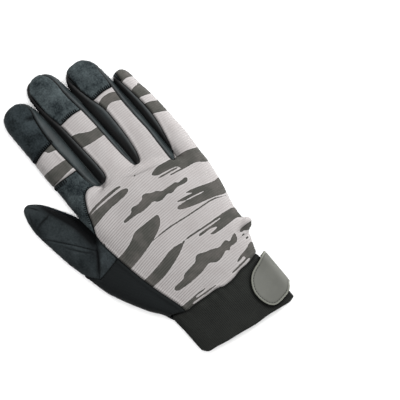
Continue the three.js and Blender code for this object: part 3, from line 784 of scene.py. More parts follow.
def newGroup(name, inputs, outputs):
    tree = bpy.data.node_groups.new(name, "ShaderNodeTree")
    for label, (kind, value) in inputs.items():
        socket = tree.interface.new_socket(label, in_out="INPUT", socket_type=kind)
        socket.default_value = value
    for label, kind in outputs.items():
        tree.interface.new_socket(label, in_out="OUTPUT", socket_type=kind)
    entry = tree.nodes.new("NodeGroupInput")
    leave = tree.nodes.new("NodeGroupOutput")
    return tree, entry.outputs, leave.inputs


number, colour = "NodeSocketFloat", "NodeSocketColor"


def napGroup():
    tree, given, out = newGroup(
        "brushedNap",
        {"Dark": (colour, (0.02, 0.02, 0.02, 1)), "Light": (colour, (0.08, 0.08, 0.08, 1)),
         "Blotch": (number, 90.0), "Grain": (number, 900.0)},
        {"Colour": colour, "Height": number, "Rough": number},
    )
    where = objectPlace(tree)
    blotch = noiseAt(tree, where, given["Blotch"], 3, 0.55)
    grain = noiseAt(tree, where, given["Grain"], 2, 0.6)
    both = calc(tree, "MULTIPLY_ADD", blotch, 0.62, calc(tree, "MULTIPLY", grain, 0.38))
    share = ramp(tree, both, 0.36, 0.64)
    tree.links.new(mixColour(tree, share, given["Dark"], given["Light"]), out["Colour"])
    tree.links.new(calc(tree, "MULTIPLY_ADD", blotch, 0.5, grain), out["Height"])
    tree.links.new(ramp(tree, blotch, 0.3, 0.7, 0.86, 0.98), out["Rough"])
    return tree


def ribGroup():
    tree, given, out = newGroup(
        "knitRibs",
        {"Spacing": (number, 0.0017), "Slant": (number, 0.08), "Bow": (number, -1.75),
         "Stitch": (number, 0.0011)},
        {"Rib": number, "Cell": number, "Height": number},
    )
    where = objectPlace(tree)
    split = place(tree, "ShaderNodeSeparateXYZ", {0: where})
    wander = noiseAt(tree, where, 45.0, 1)
    slid = calc(tree, "MULTIPLY_ADD", split.outputs[0], calc(tree, "MULTIPLY", given["Slant"], -1.0),
                split.outputs[1])
    bowed = calc(tree, "MULTIPLY", calc(tree, "MULTIPLY", split.outputs[0], split.outputs[0]), given["Bow"])
    slid = calc(tree, "SUBTRACT", calc(tree, "MULTIPLY_ADD", wander, 0.0016, slid), bowed)
    phase = calc(tree, "DIVIDE", slid, given["Spacing"])
    wave = calc(tree, "COSINE", calc(tree, "MULTIPLY", phase, 2 * math.pi))
    rib = ramp(tree, wave, -1, 1)
    row = calc(tree, "FLOOR", phase)
    across = calc(tree, "MULTIPLY_ADD", row, 0.5, calc(tree, "DIVIDE", split.outputs[0], given["Stitch"]))
    cell = ramp(tree, calc(tree, "COSINE", calc(tree, "MULTIPLY", across, 2 * math.pi)), -1, 1)
    tree.links.new(rib, out["Rib"])
    tree.links.new(cell, out["Cell"])
    tree.links.new(calc(tree, "MULTIPLY_ADD", cell, calc(tree, "MULTIPLY", rib, 0.35), rib), out["Height"])
    return tree


def seamGroup():
    tree, given, out = newGroup("seamShade", {"Reach": (number, 1.4), "Strength": (number, 0.5)},
                                {"Shade": number})
    # Painted shade: darker towards each seam, for the dark seam line and the shade in its groove, and painted
    # shade wherever the points carry shade of folds, strip sides or the tab
    seam = vertexValue(tree, "seam")
    near = ramp(tree, calc(tree, "DIVIDE", seam, given["Reach"]), 0.35, 1, 1, 0)
    paintedShade = vertexValue(tree, "foldShade")
    near = calc(tree, "MULTIPLY", near, given["Strength"])
    tree.links.new(calc(tree, "MAXIMUM", near, calc(tree, "MULTIPLY", paintedShade, 0.93)), out["Shade"])
    return tree


groups = {"nap": napGroup(), "ribs": ribGroup(), "seam": seamGroup()}


def grouped(tree, name, **inputs):
    return place(tree, "ShaderNodeGroup", inputs, node_tree=groups[name]).outputs


def newMaterial(name, rough, sheen=0.0, sheenRough=0.5, specular=0.5):
    material = bpy.data.materials.new(name)
    material.use_nodes = True
    tree = material.node_tree
    shader = tree.nodes["Principled BSDF"]
    shader.inputs["Roughness"].default_value = rough
    shader.inputs["Specular IOR Level"].default_value = specular
    shader.inputs["Sheen Weight"].default_value = sheen
    shader.inputs["Sheen Roughness"].default_value = sheenRough
    return material, tree, shader.inputs


def bump(tree, height, strength, distance):
    made = place(tree, "ShaderNodeBump", {"Height": height, "Strength": strength, "Distance": distance})
    return made.outputs["Normal"]


def rgb(red, green, blue):  # screen values of 0 to 255, made linear
    linear = [((c / 255 + 0.055) / 1.055) ** 2.4 if c > 10 else c / 255 / 12.92 for c in (red, green, blue)]
    return (*linear, 1)


def suedeMaterial(name, look):
    material, tree, socket = newMaterial(name, 0.95, look["sheen"], 0.35, 0.12)
    nap = grouped(tree, "nap", Dark=rgb(*look["dark"]), Light=rgb(*look["light"]), Blotch=look["blotch"],
                  Grain=look["grain"])
    seam = grouped(tree, "seam", Reach=look["seamReach"], Strength=look["seamShade"])
    tree.links.new(mixColour(tree, seam["Shade"], nap["Colour"], rgb(*look["seam"])), socket["Base Color"])
    tree.links.new(nap["Rough"], socket["Roughness"])
    tree.links.new(bump(tree, nap["Height"], 0.5, look["bump"]), socket["Normal"])
    return material


# In the looks below, seam is the colour that the painted shade at seams and in folds darkens the cloth
# towards
suedeBase = {"blotch": 85.0, "grain": 800.0, "seamReach": 1.1, "seamShade": 1.0, "sheen": 0.05,
             "bump": 0.0005}
suedeLooks = {
    "suede_index": {"dark": (17, 23, 25), "light": (56, 64, 67), "seam": (3, 4, 5)},
    "suede_back": {"dark": (26, 33, 36), "light": (80, 89, 91), "seam": (3, 4, 5)},
    "suede_thumb": {"dark": (26, 31, 33), "light": (52, 58, 60), "seam": (2, 2, 3), "blotch": 75.0,
                    "seamReach": 0.6, "seamShade": 0.5, "sheen": 0.04},
    "suede_root": {"dark": (36, 41, 43), "light": (62, 69, 72), "seam": (5, 6, 7), "blotch": 75.0,
                   "seamReach": 0.9, "seamShade": 0.8, "sheen": 0.04},
    "suede_palm": {"dark": (27, 32, 36), "light": (53, 60, 66), "seam": (5, 6, 7), "blotch": 110.0,
                   "seamReach": 1.2, "seamShade": 0.9},
}
knitLook = {
    "light": (185, 181, 180), "valley": (112, 106, 106), "dark": (79, 79, 75), "darkValley": (52, 52, 49),
    "rim": (44, 43, 41), "halo": (202, 199, 198), "mottle": (150, 140, 138), "seam": (30, 30, 30),
    "bump": 0.0002,
}
stripLook = {"dark": (24, 31, 33), "light": (47, 56, 58), "seam": (1, 1, 2)}


def knitMaterial():
    material, tree, socket = newMaterial("camouflage_knit", 0.92, 0.04, 0.4, 0.15)
    look = knitLook
    ribs = grouped(tree, "ribs")
    where = objectPlace(tree)
    fray = noiseAt(tree, where, 700.0, 1)
    camo = vertexValue(tree, "camo")
    edge = calc(tree, "MULTIPLY_ADD", calc(tree, "SUBTRACT", fray, 0.5), 0.5, camo)
    printed = ramp(tree, edge, -0.12, 0.12, 1, 0)
    mottle = noiseAt(tree, where, 120.0, 3)
    grain = noiseAt(tree, where, 1300.0, 1)
    valley = calc(tree, "POWER", calc(tree, "SUBTRACT", 1.0, ribs["Rib"]), 3.0)
    dotted = calc(tree, "MULTIPLY", valley, calc(tree, "MULTIPLY_ADD", ribs["Cell"], 0.6, 0.4))
    depth = calc(tree, "MULTIPLY_ADD", grain, 0.35, calc(tree, "SUBTRACT", 0.825, dotted))
    spot = place(tree, "ShaderNodeSeparateXYZ", {0: where}).outputs
    plain = ramp(tree, spot[0], -0.03, 0.045, 0, 0.7)
    plain = calc(tree, "MAXIMUM", plain, ramp(tree, spot[1], -0.01, 0.03, 0, 0.6))
    depth = calc(tree, "MULTIPLY_ADD", calc(tree, "SUBTRACT", 0.95, depth), plain, depth)
    light = mixColour(tree, depth, rgb(*look["valley"]), rgb(*look["light"]))
    dark = mixColour(tree, depth, rgb(*look["darkValley"]), rgb(*look["dark"]))
    dark = mixColour(tree, ramp(tree, camo, -0.9, -0.15, 0, 0.45), dark, rgb(*look["rim"]))
    light = mixColour(tree, ramp(tree, camo, 0.2, 1.1, 0.35, 0), light, rgb(*look["halo"]))
    both = mixColour(tree, printed, light, dark)
    both = mixColour(tree, ramp(tree, mottle, 0.4, 0.7, 0, 0.18), both, rgb(*look["mottle"]))
    seam = grouped(tree, "seam", Reach=0.45, Strength=0.5)
    tree.links.new(mixColour(tree, seam["Shade"], both, rgb(*look["seam"])), socket["Base Color"])
    tree.links.new(bump(tree, ribs["Height"], 0.4, look["bump"]), socket["Normal"])
    return material


def stripMaterial():
    material, tree, socket = newMaterial("side_strip", 0.6, 0.0, 0.5, 0.42)
    nap = grouped(tree, "nap", Dark=rgb(*stripLook["dark"]), Light=rgb(*stripLook["light"]), Blotch=70.0,
                  Grain=1100.0)
    seam = grouped(tree, "seam", Reach=1.0, Strength=0.95)
    shaded = mixColour(tree, seam["Shade"], nap["Colour"], rgb(*stripLook["seam"]))
    tree.links.new(shaded, socket["Base Color"])
    tree.links.new(bump(tree, nap["Height"], 0.35, 0.0002), socket["Normal"])
    return material


def stretchMaterial():
    material, tree, socket = newMaterial("stretch_knit", 0.9, 0.02, 0.5, 0.08)
    ribs = grouped(tree, "ribs", Spacing=0.0009, Slant=0.6, Bow=0.0, Stitch=0.0009)
    shade = mixColour(tree, ribs["Height"], rgb(16, 18, 19), rgb(34, 37, 38))
    tree.links.new(shade, socket["Base Color"])
    tree.links.new(bump(tree, ribs["Height"], 0.5, 0.0002), socket["Normal"])
    return material


def elasticMaterial():
    material, tree, socket = newMaterial("elastic", 0.85, 0.03, 0.5, 0.12)
    where = objectPlace(tree)
    rib = vertexValue(tree, "rib")
    pick = noiseAt(tree, where, 1500.0, 2)
    wear = noiseAt(tree, where, 60.0, 2)
    share = calc(tree, "MULTIPLY_ADD", pick, 0.75, calc(tree, "MULTIPLY", rib, 0.4))
    share = calc(tree, "MULTIPLY_ADD", wear, 0.4, calc(tree, "SUBTRACT", share, 0.35))
    cloth = mixColour(tree, share, rgb(17, 18, 17), rgb(54, 56, 53))
    # painted shadow of the tab and painted shade under the knit's edge, read from the cuff's points
    shade = grouped(tree, "seam", Reach=1.0, Strength=0.0)["Shade"]
    tree.links.new(mixColour(tree, shade, cloth, rgb(8, 9, 9)), socket["Base Color"])
    tree.links.new(bump(tree, pick, 0.5, 0.0002), socket["Normal"])
    return material


def tabMaterial():
    material, tree, socket = newMaterial("tab_rubber", 0.55, 0.0, 0.5, 0.4)
    where = objectPlace(tree)
    edge = vertexValue(tree, "seam")
    mottle = noiseAt(tree, where, 55.0, 3)
    grain = noiseAt(tree, where, 1600.0, 2)
    face = mixColour(tree, ramp(tree, mottle, 0.3, 0.7), rgb(96, 97, 91), rgb(112, 113, 107))
    face = mixColour(tree, ramp(tree, edge, 0.7, 1.3, 1, 0), face, rgb(134, 136, 126))
    line = ramp(tree, calc(tree, "ABSOLUTE", calc(tree, "SUBTRACT", edge, 1.75)), 0.2, 0.5, 0.45, 0)
    tree.links.new(mixColour(tree, line, face, rgb(70, 71, 66)), socket["Base Color"])
    tree.links.new(ramp(tree, mottle, 0.3, 0.7, 0.5, 0.62), socket["Roughness"])
    tree.links.new(bump(tree, grain, 0.4, 0.00015), socket["Normal"])
    return material


def threadMaterial(name, dark, light):
    material, tree, socket = newMaterial(name, 0.85, 0.0, 0.5, 0.1)
    where = objectPlace(tree)
    twist = noiseAt(tree, where, 2500.0, 1)
    tree.links.new(mixColour(tree, twist, rgb(*dark), rgb(*light)), socket["Base Color"])
    return material


finishes = {name: suedeMaterial(name, {**suedeBase, **look}) for name, look in suedeLooks.items()}
finishes["knit"] = knitMaterial()
finishes["strip"] = stripMaterial()
finishes["stretch"] = stretchMaterial()
finishes["elastic"] = elasticMaterial()
finishes["tab"] = tabMaterial()
finishes["thread"] = threadMaterial("black_thread", (2, 2, 3), (8, 9, 10))
finishes["tabThread"] = threadMaterial("grey_thread", (44, 45, 42), (66, 68, 64))
print("finishes made")

# Cloth panels

# Folds pressed into the cloth: deep sinks the surface and dark is painted shade along the fold; for
# thumbHollow and thumbRoot dark is the painted shadow that the hand's edge casts on the thumb
foldLines = {
    "indexCap": {"on": "index_tip", "deep": 1.9, "wide": 1.7, "dark": 0.95,
        "line": [(25, 120.4), (31, 118.4), (38, 118)]},
    "thumbBall": {"on": "thumb", "deep": 0.8, "wide": 0.8, "dark": 0.9,
        "line": [(48.6, 208.4), (49, 216), (44, 221), (40, 225), (38, 230)]},
    "thumbNail": {"on": "thumb", "deep": 0.6, "wide": 0.7, "dark": 0.9,
        "line": [(25.6, 207.6), (33, 208.5), (38, 210.5), (42.5, 211.8)]},
    "thumbEdge": {"on": "thumb", "deep": 0.4, "wide": 0.6, "dark": 0.5,
        "line": [(29, 210.5), (30, 218), (33, 225), (39, 231.5)]},
    "thumbLower": {"on": "thumb", "deep": 0.5, "wide": 0.6, "dark": 0.8,
        "line": [(62, 246.4), (66, 247.8), (72, 249.6), (80, 251.6), (88, 252.9), (98, 253.6)]},
    "thumbHollow": {"on": "thumb", "deep": 1.8, "wide": 4.8, "dark": 2.2, "line": [
        (34, 200.5), (46, 205.6), (58, 211), (69, 217), (80, 223.6), (89, 233), (95, 243), (98, 252),
    ]},
    "thumbRoot": {"on": "thumb", "deep": 0.6, "wide": 1.5, "dark": 1.1,
        "line": [(93, 236), (96.6, 247), (98.6, 258), (99.2, 268), (99.8, 280)]},
    "wristEdge": {"on": "back", "deep": 1.5, "wide": 1.6, "dark": 0.5,
        "line": [(254, 220.5), (247, 225.5), (239, 231.6)]},
    "wristUnder": {"on": "back", "deep": 0.7, "wide": 1.3, "dark": 0.15,
        "line": [(250, 233), (244, 236.5), (240, 240)]},
    "wristRidge": {"on": "back", "deep": -0.8, "wide": 1.8, "dark": 0,
        "line": [(240, 219), (246, 219.2), (251, 219)]},
    "palmHollow": {"on": "palm", "under": True, "deep": 0.7, "wide": 2.2, "dark": 0.25,
        "line": [(102, 228), (124, 232), (150, 262), (168, 300)]},
    "palmRoots": {"on": "palm", "under": True, "deep": 0.6, "wide": 2.0, "dark": 0.25,
        "line": [(96, 204), (120, 190), (146, 172), (174, 158), (190, 156)]},
    "palmHeel": {"on": "palm", "under": True, "deep": 0.5, "wide": 1.8, "dark": 0.2,
        "line": [(150, 200), (176, 218), (206, 226), (232, 226)]},
    "knuckleLine": {"on": "back", "deep": 0.12, "wide": 0.45, "dark": 0.4,
        "line": [(124, 177.6), (135, 176), (147, 170.6), (158, 165)]},
}


def foldLift(name, points):
    lift = np.zeros(len(points))
    dark = np.zeros(len(points))
    upper = points[:, 2] > sideSeamHeight
    under = points[:, 2] < palmTop
    for foldShade in foldLines.values():
        if not name.startswith(foldShade["on"]):
            continue
        away, share, _ = lineDistance(points, smoothLine(onGlove(foldShade["line"])))
        fade = np.sin(np.clip(share, 0.06, 0.94) * math.pi) ** 0.7 * np.exp(-((away / foldShade["wide"]) ** 2))
        fade = fade * (under if "under" in foldShade else upper)
        lift -= foldShade["deep"] * fade
        # painted shade along the fold
        dark = np.maximum(dark, foldShade["dark"] * fade)
    return lift, np.minimum(dark, 1)


stripShadow = {"from": 0.15, "over": 0.35, "dark": 1.1}


def stripShade(normals):  # painted shade: darker where a side strip faces the thumb, away from the key light
    facing = np.clip(-stripShadow["from"] - normals[:, 0], 0, stripShadow["over"])
    return facing / stripShadow["over"] * stripShadow["dark"]


def newMesh(name, points, tris, material, attributes=()):
    mesh = bpy.data.meshes.new(name)
    mesh.vertices.add(len(points))
    mesh.vertices.foreach_set("co", toFrame(points).astype(np.float32).ravel())
    mesh.loops.add(3 * len(tris))
    mesh.loops.foreach_set("vertex_index", tris.astype(np.int32).ravel())
    mesh.polygons.add(len(tris))
    mesh.polygons.foreach_set("loop_start", np.arange(0, 3 * len(tris), 3, dtype=np.int32))
    mesh.polygons.foreach_set("use_smooth", np.ones(len(tris), bool))
    for label, values in dict(attributes).items():
        mesh.attributes.new(label, "FLOAT", "POINT").data.foreach_set("value", values.astype(np.float32))
    mesh.update(calc_edges=True)
    mesh.validate()
    mesh.materials.append(material)
    piece = bpy.data.objects.new(name, mesh)
    bpy.context.scene.collection.objects.link(piece)
    return piece


panelLook = {
    "wall": 1.3, "gap": 0.07, "flatten": 0.35, "groove": 1.0, "grooveWide": 0.75, "roll": 0.3, "rollAt": 1.9,
    "rollWide": 1.0, "pucker": 0.16, "puckerSize": 4.2, "puckerFrom": 0.8, "puckerReach": 3.0, "soft": 0.3,
    "softSize": 34.0,
}
farFromSeam = 9.0  # the value that an inner face carries


def dressPanel(name, mesh, look):
    points, normals, tris = mesh["points"], mesh["normals"], mesh["tris"]
    border = boundaryEdges(tris)
    ends = points[border]
    dense = np.concatenate([ends[:, 0] * (1 - share) + ends[:, 1] * share for share in (0, 0.33, 0.67)])
    seam = distanceTo(points, dense)
    lift = -look["groove"] * np.exp(-((seam / look["grooveWide"]) ** 1.5))
    lift += look["roll"] * np.exp(-(((seam - look["rollAt"]) / look["rollWide"]) ** 2))
    pucker = softNoise(points, look["puckerSize"], 3) * np.exp(-seam / look["puckerReach"])
    lift += look["pucker"] * pucker * (1 - np.exp(-seam / look["puckerFrom"]))
    lift += look["soft"] * softNoise(points, look["softSize"], 11)
    folded, dark = foldLift(name, points)
    # painted shade on the strip sides that face away from the key light
    if name.startswith("fourchette"):
        dark = np.maximum(dark, stripShade(normals))
    lift += folded
    outer = points + normals * lift[:, None]
    inward = neighbourMean(points, triEdges(tris)) - points
    inward /= np.maximum(np.linalg.norm(inward, axis=1), 1e-6)[:, None]
    rim = np.zeros(len(points), bool)
    rim[border.ravel()] = True
    outer[rim] += inward[rim] * look["gap"]
    outer[:, 2] = np.maximum(outer[:, 2], 0.0)
    inner = points - normals * (look["wall"] - np.minimum(folded, 0))[:, None]
    inner[rim] += inward[rim] * look["gap"]
    inner[:, 2] = np.maximum(inner[:, 2], look["wall"] - look["flatten"])
    return outer, inner, border, seam, dark


outside = []
sheetAreas = {}


def clothPiece(name, mesh, material, look=(), camo=False):
    outer, inner, border, seam, dark = dressPanel(name, mesh, {**panelLook, **dict(look)})
    count = len(outer)
    tris = mesh["tris"]
    a, b = border[:, 0], border[:, 1]
    rim = np.concatenate([np.stack([b, a, a + count], 1), np.stack([b, a + count, b + count], 1)])
    allTris = np.concatenate([tris, tris[:, ::-1] + count, rim])
    points = np.vstack([outer, inner])
    # Each point carries its distance to a seam and its painted shade from folds and shaded strip sides
    attributes = {"seam": np.concatenate([seam, np.full(count, farFromSeam)]),
                  "foldShade": np.concatenate([dark, 0 * dark])}
    if camo:
        away = camoDistance(mesh["points"])
        attributes["camo"] = np.concatenate([away, away])
    piece = newMesh(name, points, allTris, material, attributes)
    outside.append((outer, tris))
    corner = mesh["points"][tris]
    twice = np.linalg.norm(np.cross(corner[:, 1] - corner[:, 0], corner[:, 2] - corner[:, 0]), axis=1)
    sheetAreas[name] = twice.sum() / 2 / 1e6
    return piece


def weld(meshes):
    points = np.vstack([m["points"] for m in meshes])
    normals = np.vstack([m["normals"] for m in meshes])
    base = np.cumsum([0] + [len(m["points"]) for m in meshes[:-1]])
    tris = np.concatenate([m["tris"] + b for m, b in zip(meshes, base)])
    _, first, index = np.unique(np.round(points, 4), axis=0, return_index=True, return_inverse=True)
    tris = index.reshape(-1)[tris]
    fine = (tris[:, 0] != tris[:, 1]) & (tris[:, 1] != tris[:, 2]) & (tris[:, 2] != tris[:, 0])
    return {"points": points[first], "normals": normals[first], "tris": tris[fine]}


cell = skinLook["cell"]
field, start = gloveField(skinLook, cell)
skin = surfaceNet(field, start, cell, skinLook["smoothing"])
print("skin made", len(skin["points"]), "points")


def wristAt(x, z):  # straight on the palm side, along the seam on the back
    line = smoothLine(wristSeam)
    over = 6.0
    return np.interp(x, line[:, 0], line[:, 1]) * np.clip((z - palmTop) / over, 0, 1)


def wristCut(mesh):
    x, y, z = mesh["points"].T
    _, kept = splitMesh(mesh, y - wristAt(x, z))
    return kept


panels = panelsOf(wristCut(skin))
panels["side_gusset"] = weld([panels.pop("gusset_back"), panels.pop("gusset_palm")])
print("panels cut", {name: len(part["tris"]) for name, part in panels.items()})

panelFinish = {
    "back_panel": ("knit", "camouflage_knit"), "index_knuckle_panel": ("knit", "camouflage_knit"),
    "index_tip_cap": ("suede_index", "back_suede"), "middle_tip_cap": ("suede_back", "back_suede"),
    "ring_tip_cap": ("suede_back", "back_suede"), "index_base_patch": ("suede_back", "back_suede"),
    "fourchette_index_middle": ("strip", "side_strip"), "fourchette_middle_ring": ("strip", "side_strip"),
    "fourchette_ring_little": ("strip", "side_strip"), "thumb_tip_panel": ("suede_thumb", "thumb_suede"),
    "thumb_base_panel": ("suede_thumb", "thumb_suede"), "thumb_root_patch": ("suede_root", "thumb_suede"),
    "side_gusset": ("stretch", "black_knit"), "palm_panel": ("suede_palm", "palm_suede"),
    "thumb_front_panel": ("suede_palm", "palm_suede"),
}
stripShape = {"groove": 1.1, "grooveWide": 0.8, "roll": 0.15, "rollAt": 2.2, "pucker": 0.05}
thumbShape = {"groove": 0.4, "grooveWide": 0.6, "roll": 0.15}
panelShapes = {
    "fourchette_index_middle": stripShape, "fourchette_middle_ring": stripShape,
    "fourchette_ring_little": stripShape, "thumb_tip_panel": thumbShape, "thumb_base_panel": thumbShape,
    "thumb_root_patch": thumbShape,
}
clothPieces = {}
for name, (finish, slotName) in panelFinish.items():
    part = panels[name]
    printed = finish == "knit"
    if printed:
        part = scoreCamo(part)
    piece = clothPiece(name + "_cloth", part, finishes[finish], panelShapes.get(name, {}), printed)
    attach(piece, "root")
    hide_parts(name)
    clothPieces[name] = piece
print("cloth panels made")

# Elastic cuff: a ribbed sleeve, gathered at the wrist seam, with a turned hem

cuffLook = {
    "rows": [
        (-60, -35.0, 41.2, 11.8), (-42, -35.2, 41.2, 11.8), (-28, -35.7, 41.3, 12.0),
        (-14, -36.0, 41.4, 12.4), (-6, -36.4, 41.0, 12.8), (0, -37.2, 40.2, 13.4), (6, -37.4, 40.2, 13.6),
    ],
    "endShort": -32.0, "endLong": -42.6, "cornerLeft": -36.0, "cornerRight": cuffRight, "ribs": 128,
    "ribSteps": 5, "ribDeep": 0.16, "rowsAlong": 44, "wall": 1.6, "hemSteps": 5, "hemReach": 34,
    "gather": 0.55, "gatherReach": 7.0, "tuck": 0.5, "tuckReach": 1.2, "sag": 0.2, "sagFrom": 12,
    "palmPower": 3.4, "backPower": 2.5, "nearTab": 2.2, "nearSeam": 1.6, "tabMargin": 0.4,
}


tabLook = {
    "profile": [
        (18, 13.3), (22, 13.2), (28, 13.3), (34, 13.6), (39, 14.1), (42.5, 14.4), (44.6, 13.7),
        (45.6, 12.0), (45.4, 9.4), (44.4, 7.4), (43.0, 6.0), (42.2, 4.6), (42.0, 3.2),
    ],
    "outline": [
        (45.4, -1.8), (41, -4.0), (36.8, -5.8), (32.6, -7.0), (29, -8.6), (25.8, -11), (23.2, -14.6),
        (21.2, -19), (20.6, -24), (21.3, -29), (22.7, -33), (24.6, -35.8), (27.4, -37.6), (31, -37.9),
        (36, -37.2), (39.8, -36.4), (43, -34.6), (45, -31.2),
    ],
    "thick": 2.0, "edgeShare": 0.35, "cell": 0.55, "bevel": 0.9, "rimAt": 1.7, "rimWide": 0.5,
    "rimDeep": 0.22, "foldX": 45.4, "lowerEnd": (-3.4, -29.0),
}


def cuffSection(angle, y):
    left = tableAt(cuffLook["rows"], 1, y)
    right = tableAt(cuffLook["rows"], 2, y)
    high = tableAt(cuffLook["rows"], 3, y)
    widest = widestShare * high
    c, s = np.cos(angle), np.sin(angle)
    power = np.where(s > 0, 2 / cuffLook["backPower"], 2 / cuffLook["palmPower"])
    x = (left + right) / 2 + (right - left) / 2 * np.sign(c) * np.abs(c) ** power
    z = widest + np.where(s > 0, high - widest, widest) * np.sign(s) * np.abs(s) ** power
    return x, z


def makeCuff(look):
    fine = np.linspace(0, 2 * math.pi, 4001)
    x, z = cuffSection(fine, -15.0)
    length = np.concatenate([[0], np.cumsum(np.hypot(np.diff(x), np.diff(z)))])
    columns = look["ribs"] * look["ribSteps"]
    girth = np.arange(columns) / columns * length[-1]
    angle = np.interp(girth, length, fine)
    nominal, level = cuffSection(angle, -2.0)
    seam = smoothLine(wristSeam)
    top = wristAt(nominal, level)
    share = (nominal - look["cornerLeft"]) / (look["cornerRight"] - look["cornerLeft"])
    end = look["endShort"] + (look["endLong"] - look["endShort"]) * share
    end += 1.6 * np.clip(share - 0.94, 0, 1) / 0.06
    end += 2.4 * (np.clip(0.05 - share, 0, 0.08) / 0.05) ** 2
    end += 0.35 * np.sin(girth / 9.0) + 0.2 * np.sin(girth / 3.7 + 1)
    rib = 0.5 + 0.5 * np.cos(np.arange(columns) / look["ribSteps"] * 2 * math.pi)
    ringPoints = np.stack([girth, 0 * girth, 0 * girth], 1)
    ripple = softNoise(ringPoints, 7.0, 5)
    slow = softNoise(ringPoints, 60.0, 9)
    rows = []
    half = 0.5 * look["wall"]
    steps = look["rowsAlong"]
    for s in np.linspace(0, 1, steps) ** 1.2:
        rows.append((s, 0.0))
    for s in np.linspace(0, math.pi, look["hemSteps"] + 2)[1:-1]:
        rows.append((1 + half * math.sin(s) / look["hemReach"], half * (1 - math.cos(s))))
    for s in np.linspace(1, 0, steps // 2):
        rows.append((s, look["wall"]))
    points = []
    for s, deep in rows:
        y = top + (end - top) * s
        x, z = cuffSection(angle, y)
        step = 0.01
        xa, za = cuffSection(angle - step, y)
        xb, zb = cuffSection(angle + step, y)
        nx, nz = zb - za, -(xb - xa)
        size = np.maximum(np.hypot(nx, nz), 1e-9)
        below = top - y
        gathered = look["gather"] * np.exp(-below / look["gatherReach"]) * np.clip(below / 1.5, 0.1, 1)
        tuck = -look["tuck"] * np.exp(-((below / look["tuckReach"]) ** 2))
        lift = gathered * ripple + tuck + look["sag"] * slow * np.clip(below / look["sagFrom"], 0, 1)
        lift = lift + (look["ribDeep"] * (2 * rib - 1) if deep < 0.8 * look["wall"] else 0)
        lift = lift - deep
        px, pz = x + nx / size * lift, z + nz / size * lift
        pz = np.maximum(pz, deep * 0.9)
        points.append(np.stack([px, y, pz], 1))
    count = len(points)
    a = np.arange(count * columns).reshape(count, columns)
    b = np.roll(a, -1, axis=1)
    c = np.roll(b, -1, axis=0)
    d = np.roll(a, -1, axis=0)
    tris = np.concatenate([np.stack([a, b, c], 2).reshape(-1, 3), np.stack([a, c, d], 2).reshape(-1, 3)])
    places = np.vstack(points)
    # Painted shadow of the tab on the cuff, and painted shade under the knit's edge at the wrist seam, on the
    # back only
    byTab = np.clip(outlineDistance(places, smoothLine(tabLook["outline"], 1)) + look["tabMargin"], 0, None)
    bySeam = np.clip(np.interp(places[:, 0], seam[:, 0], seam[:, 1]) - places[:, 1], 0, None)
    shade = np.exp(-((byTab / look["nearTab"]) ** 2))
    shade = np.maximum(shade, 0.8 * np.exp(-((bySeam / look["nearSeam"]) ** 2)))
    shade = shade * (places[:, 2] > sideSeamHeight)
    piece = newMesh("wrist_cuff_cloth", places, tris, finishes["elastic"],
                    {"rib": np.tile(rib, count), "foldShade": shade})
    outside.append((np.vstack(points[:steps]), tris[(tris < steps * columns).all(1)]))
    return piece


cuff = makeCuff(cuffLook)
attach(cuff, "root")
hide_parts("wrist_cuff")
print("cuff made")

# Pull tab: a moulded sheet that loops off the little-finger edge of the cuff and lies back over it

def tabPath(look):
    line = smoothLine(look["profile"], 3)
    length = np.concatenate([[0], np.cumsum(np.linalg.norm(np.diff(line, axis=0), axis=1))])
    return line, length


def tabPlace(look, s, y, off):
    line, length = tabPath(look)
    x = np.interp(s, length, line[:, 0])
    z = np.interp(s, length, line[:, 1])
    ahead = np.interp(s + 0.3, length, line[:, 0]), np.interp(s + 0.3, length, line[:, 1])
    behind = np.interp(s - 0.3, length, line[:, 0]), np.interp(s - 0.3, length, line[:, 1])
    tx, tz = ahead[0] - behind[0], ahead[1] - behind[1]
    size = np.maximum(np.hypot(tx, tz), 1e-9)
    return np.stack([x - tz / size * off, y, z + tx / size * off], 1)


def tabOutline(look):
    line, length = tabPath(look)
    top = np.argmax(line[:, 0])
    points = []
    for x, y in smoothLine(look["outline"], 1):
        s = np.interp(min(x, look["foldX"]), line[: top + 1, 0], length[: top + 1])
        points.append((s, y))
    near, far = look["lowerEnd"]
    return np.array([(length[-1], near)] + points + [(length[-1], far)])


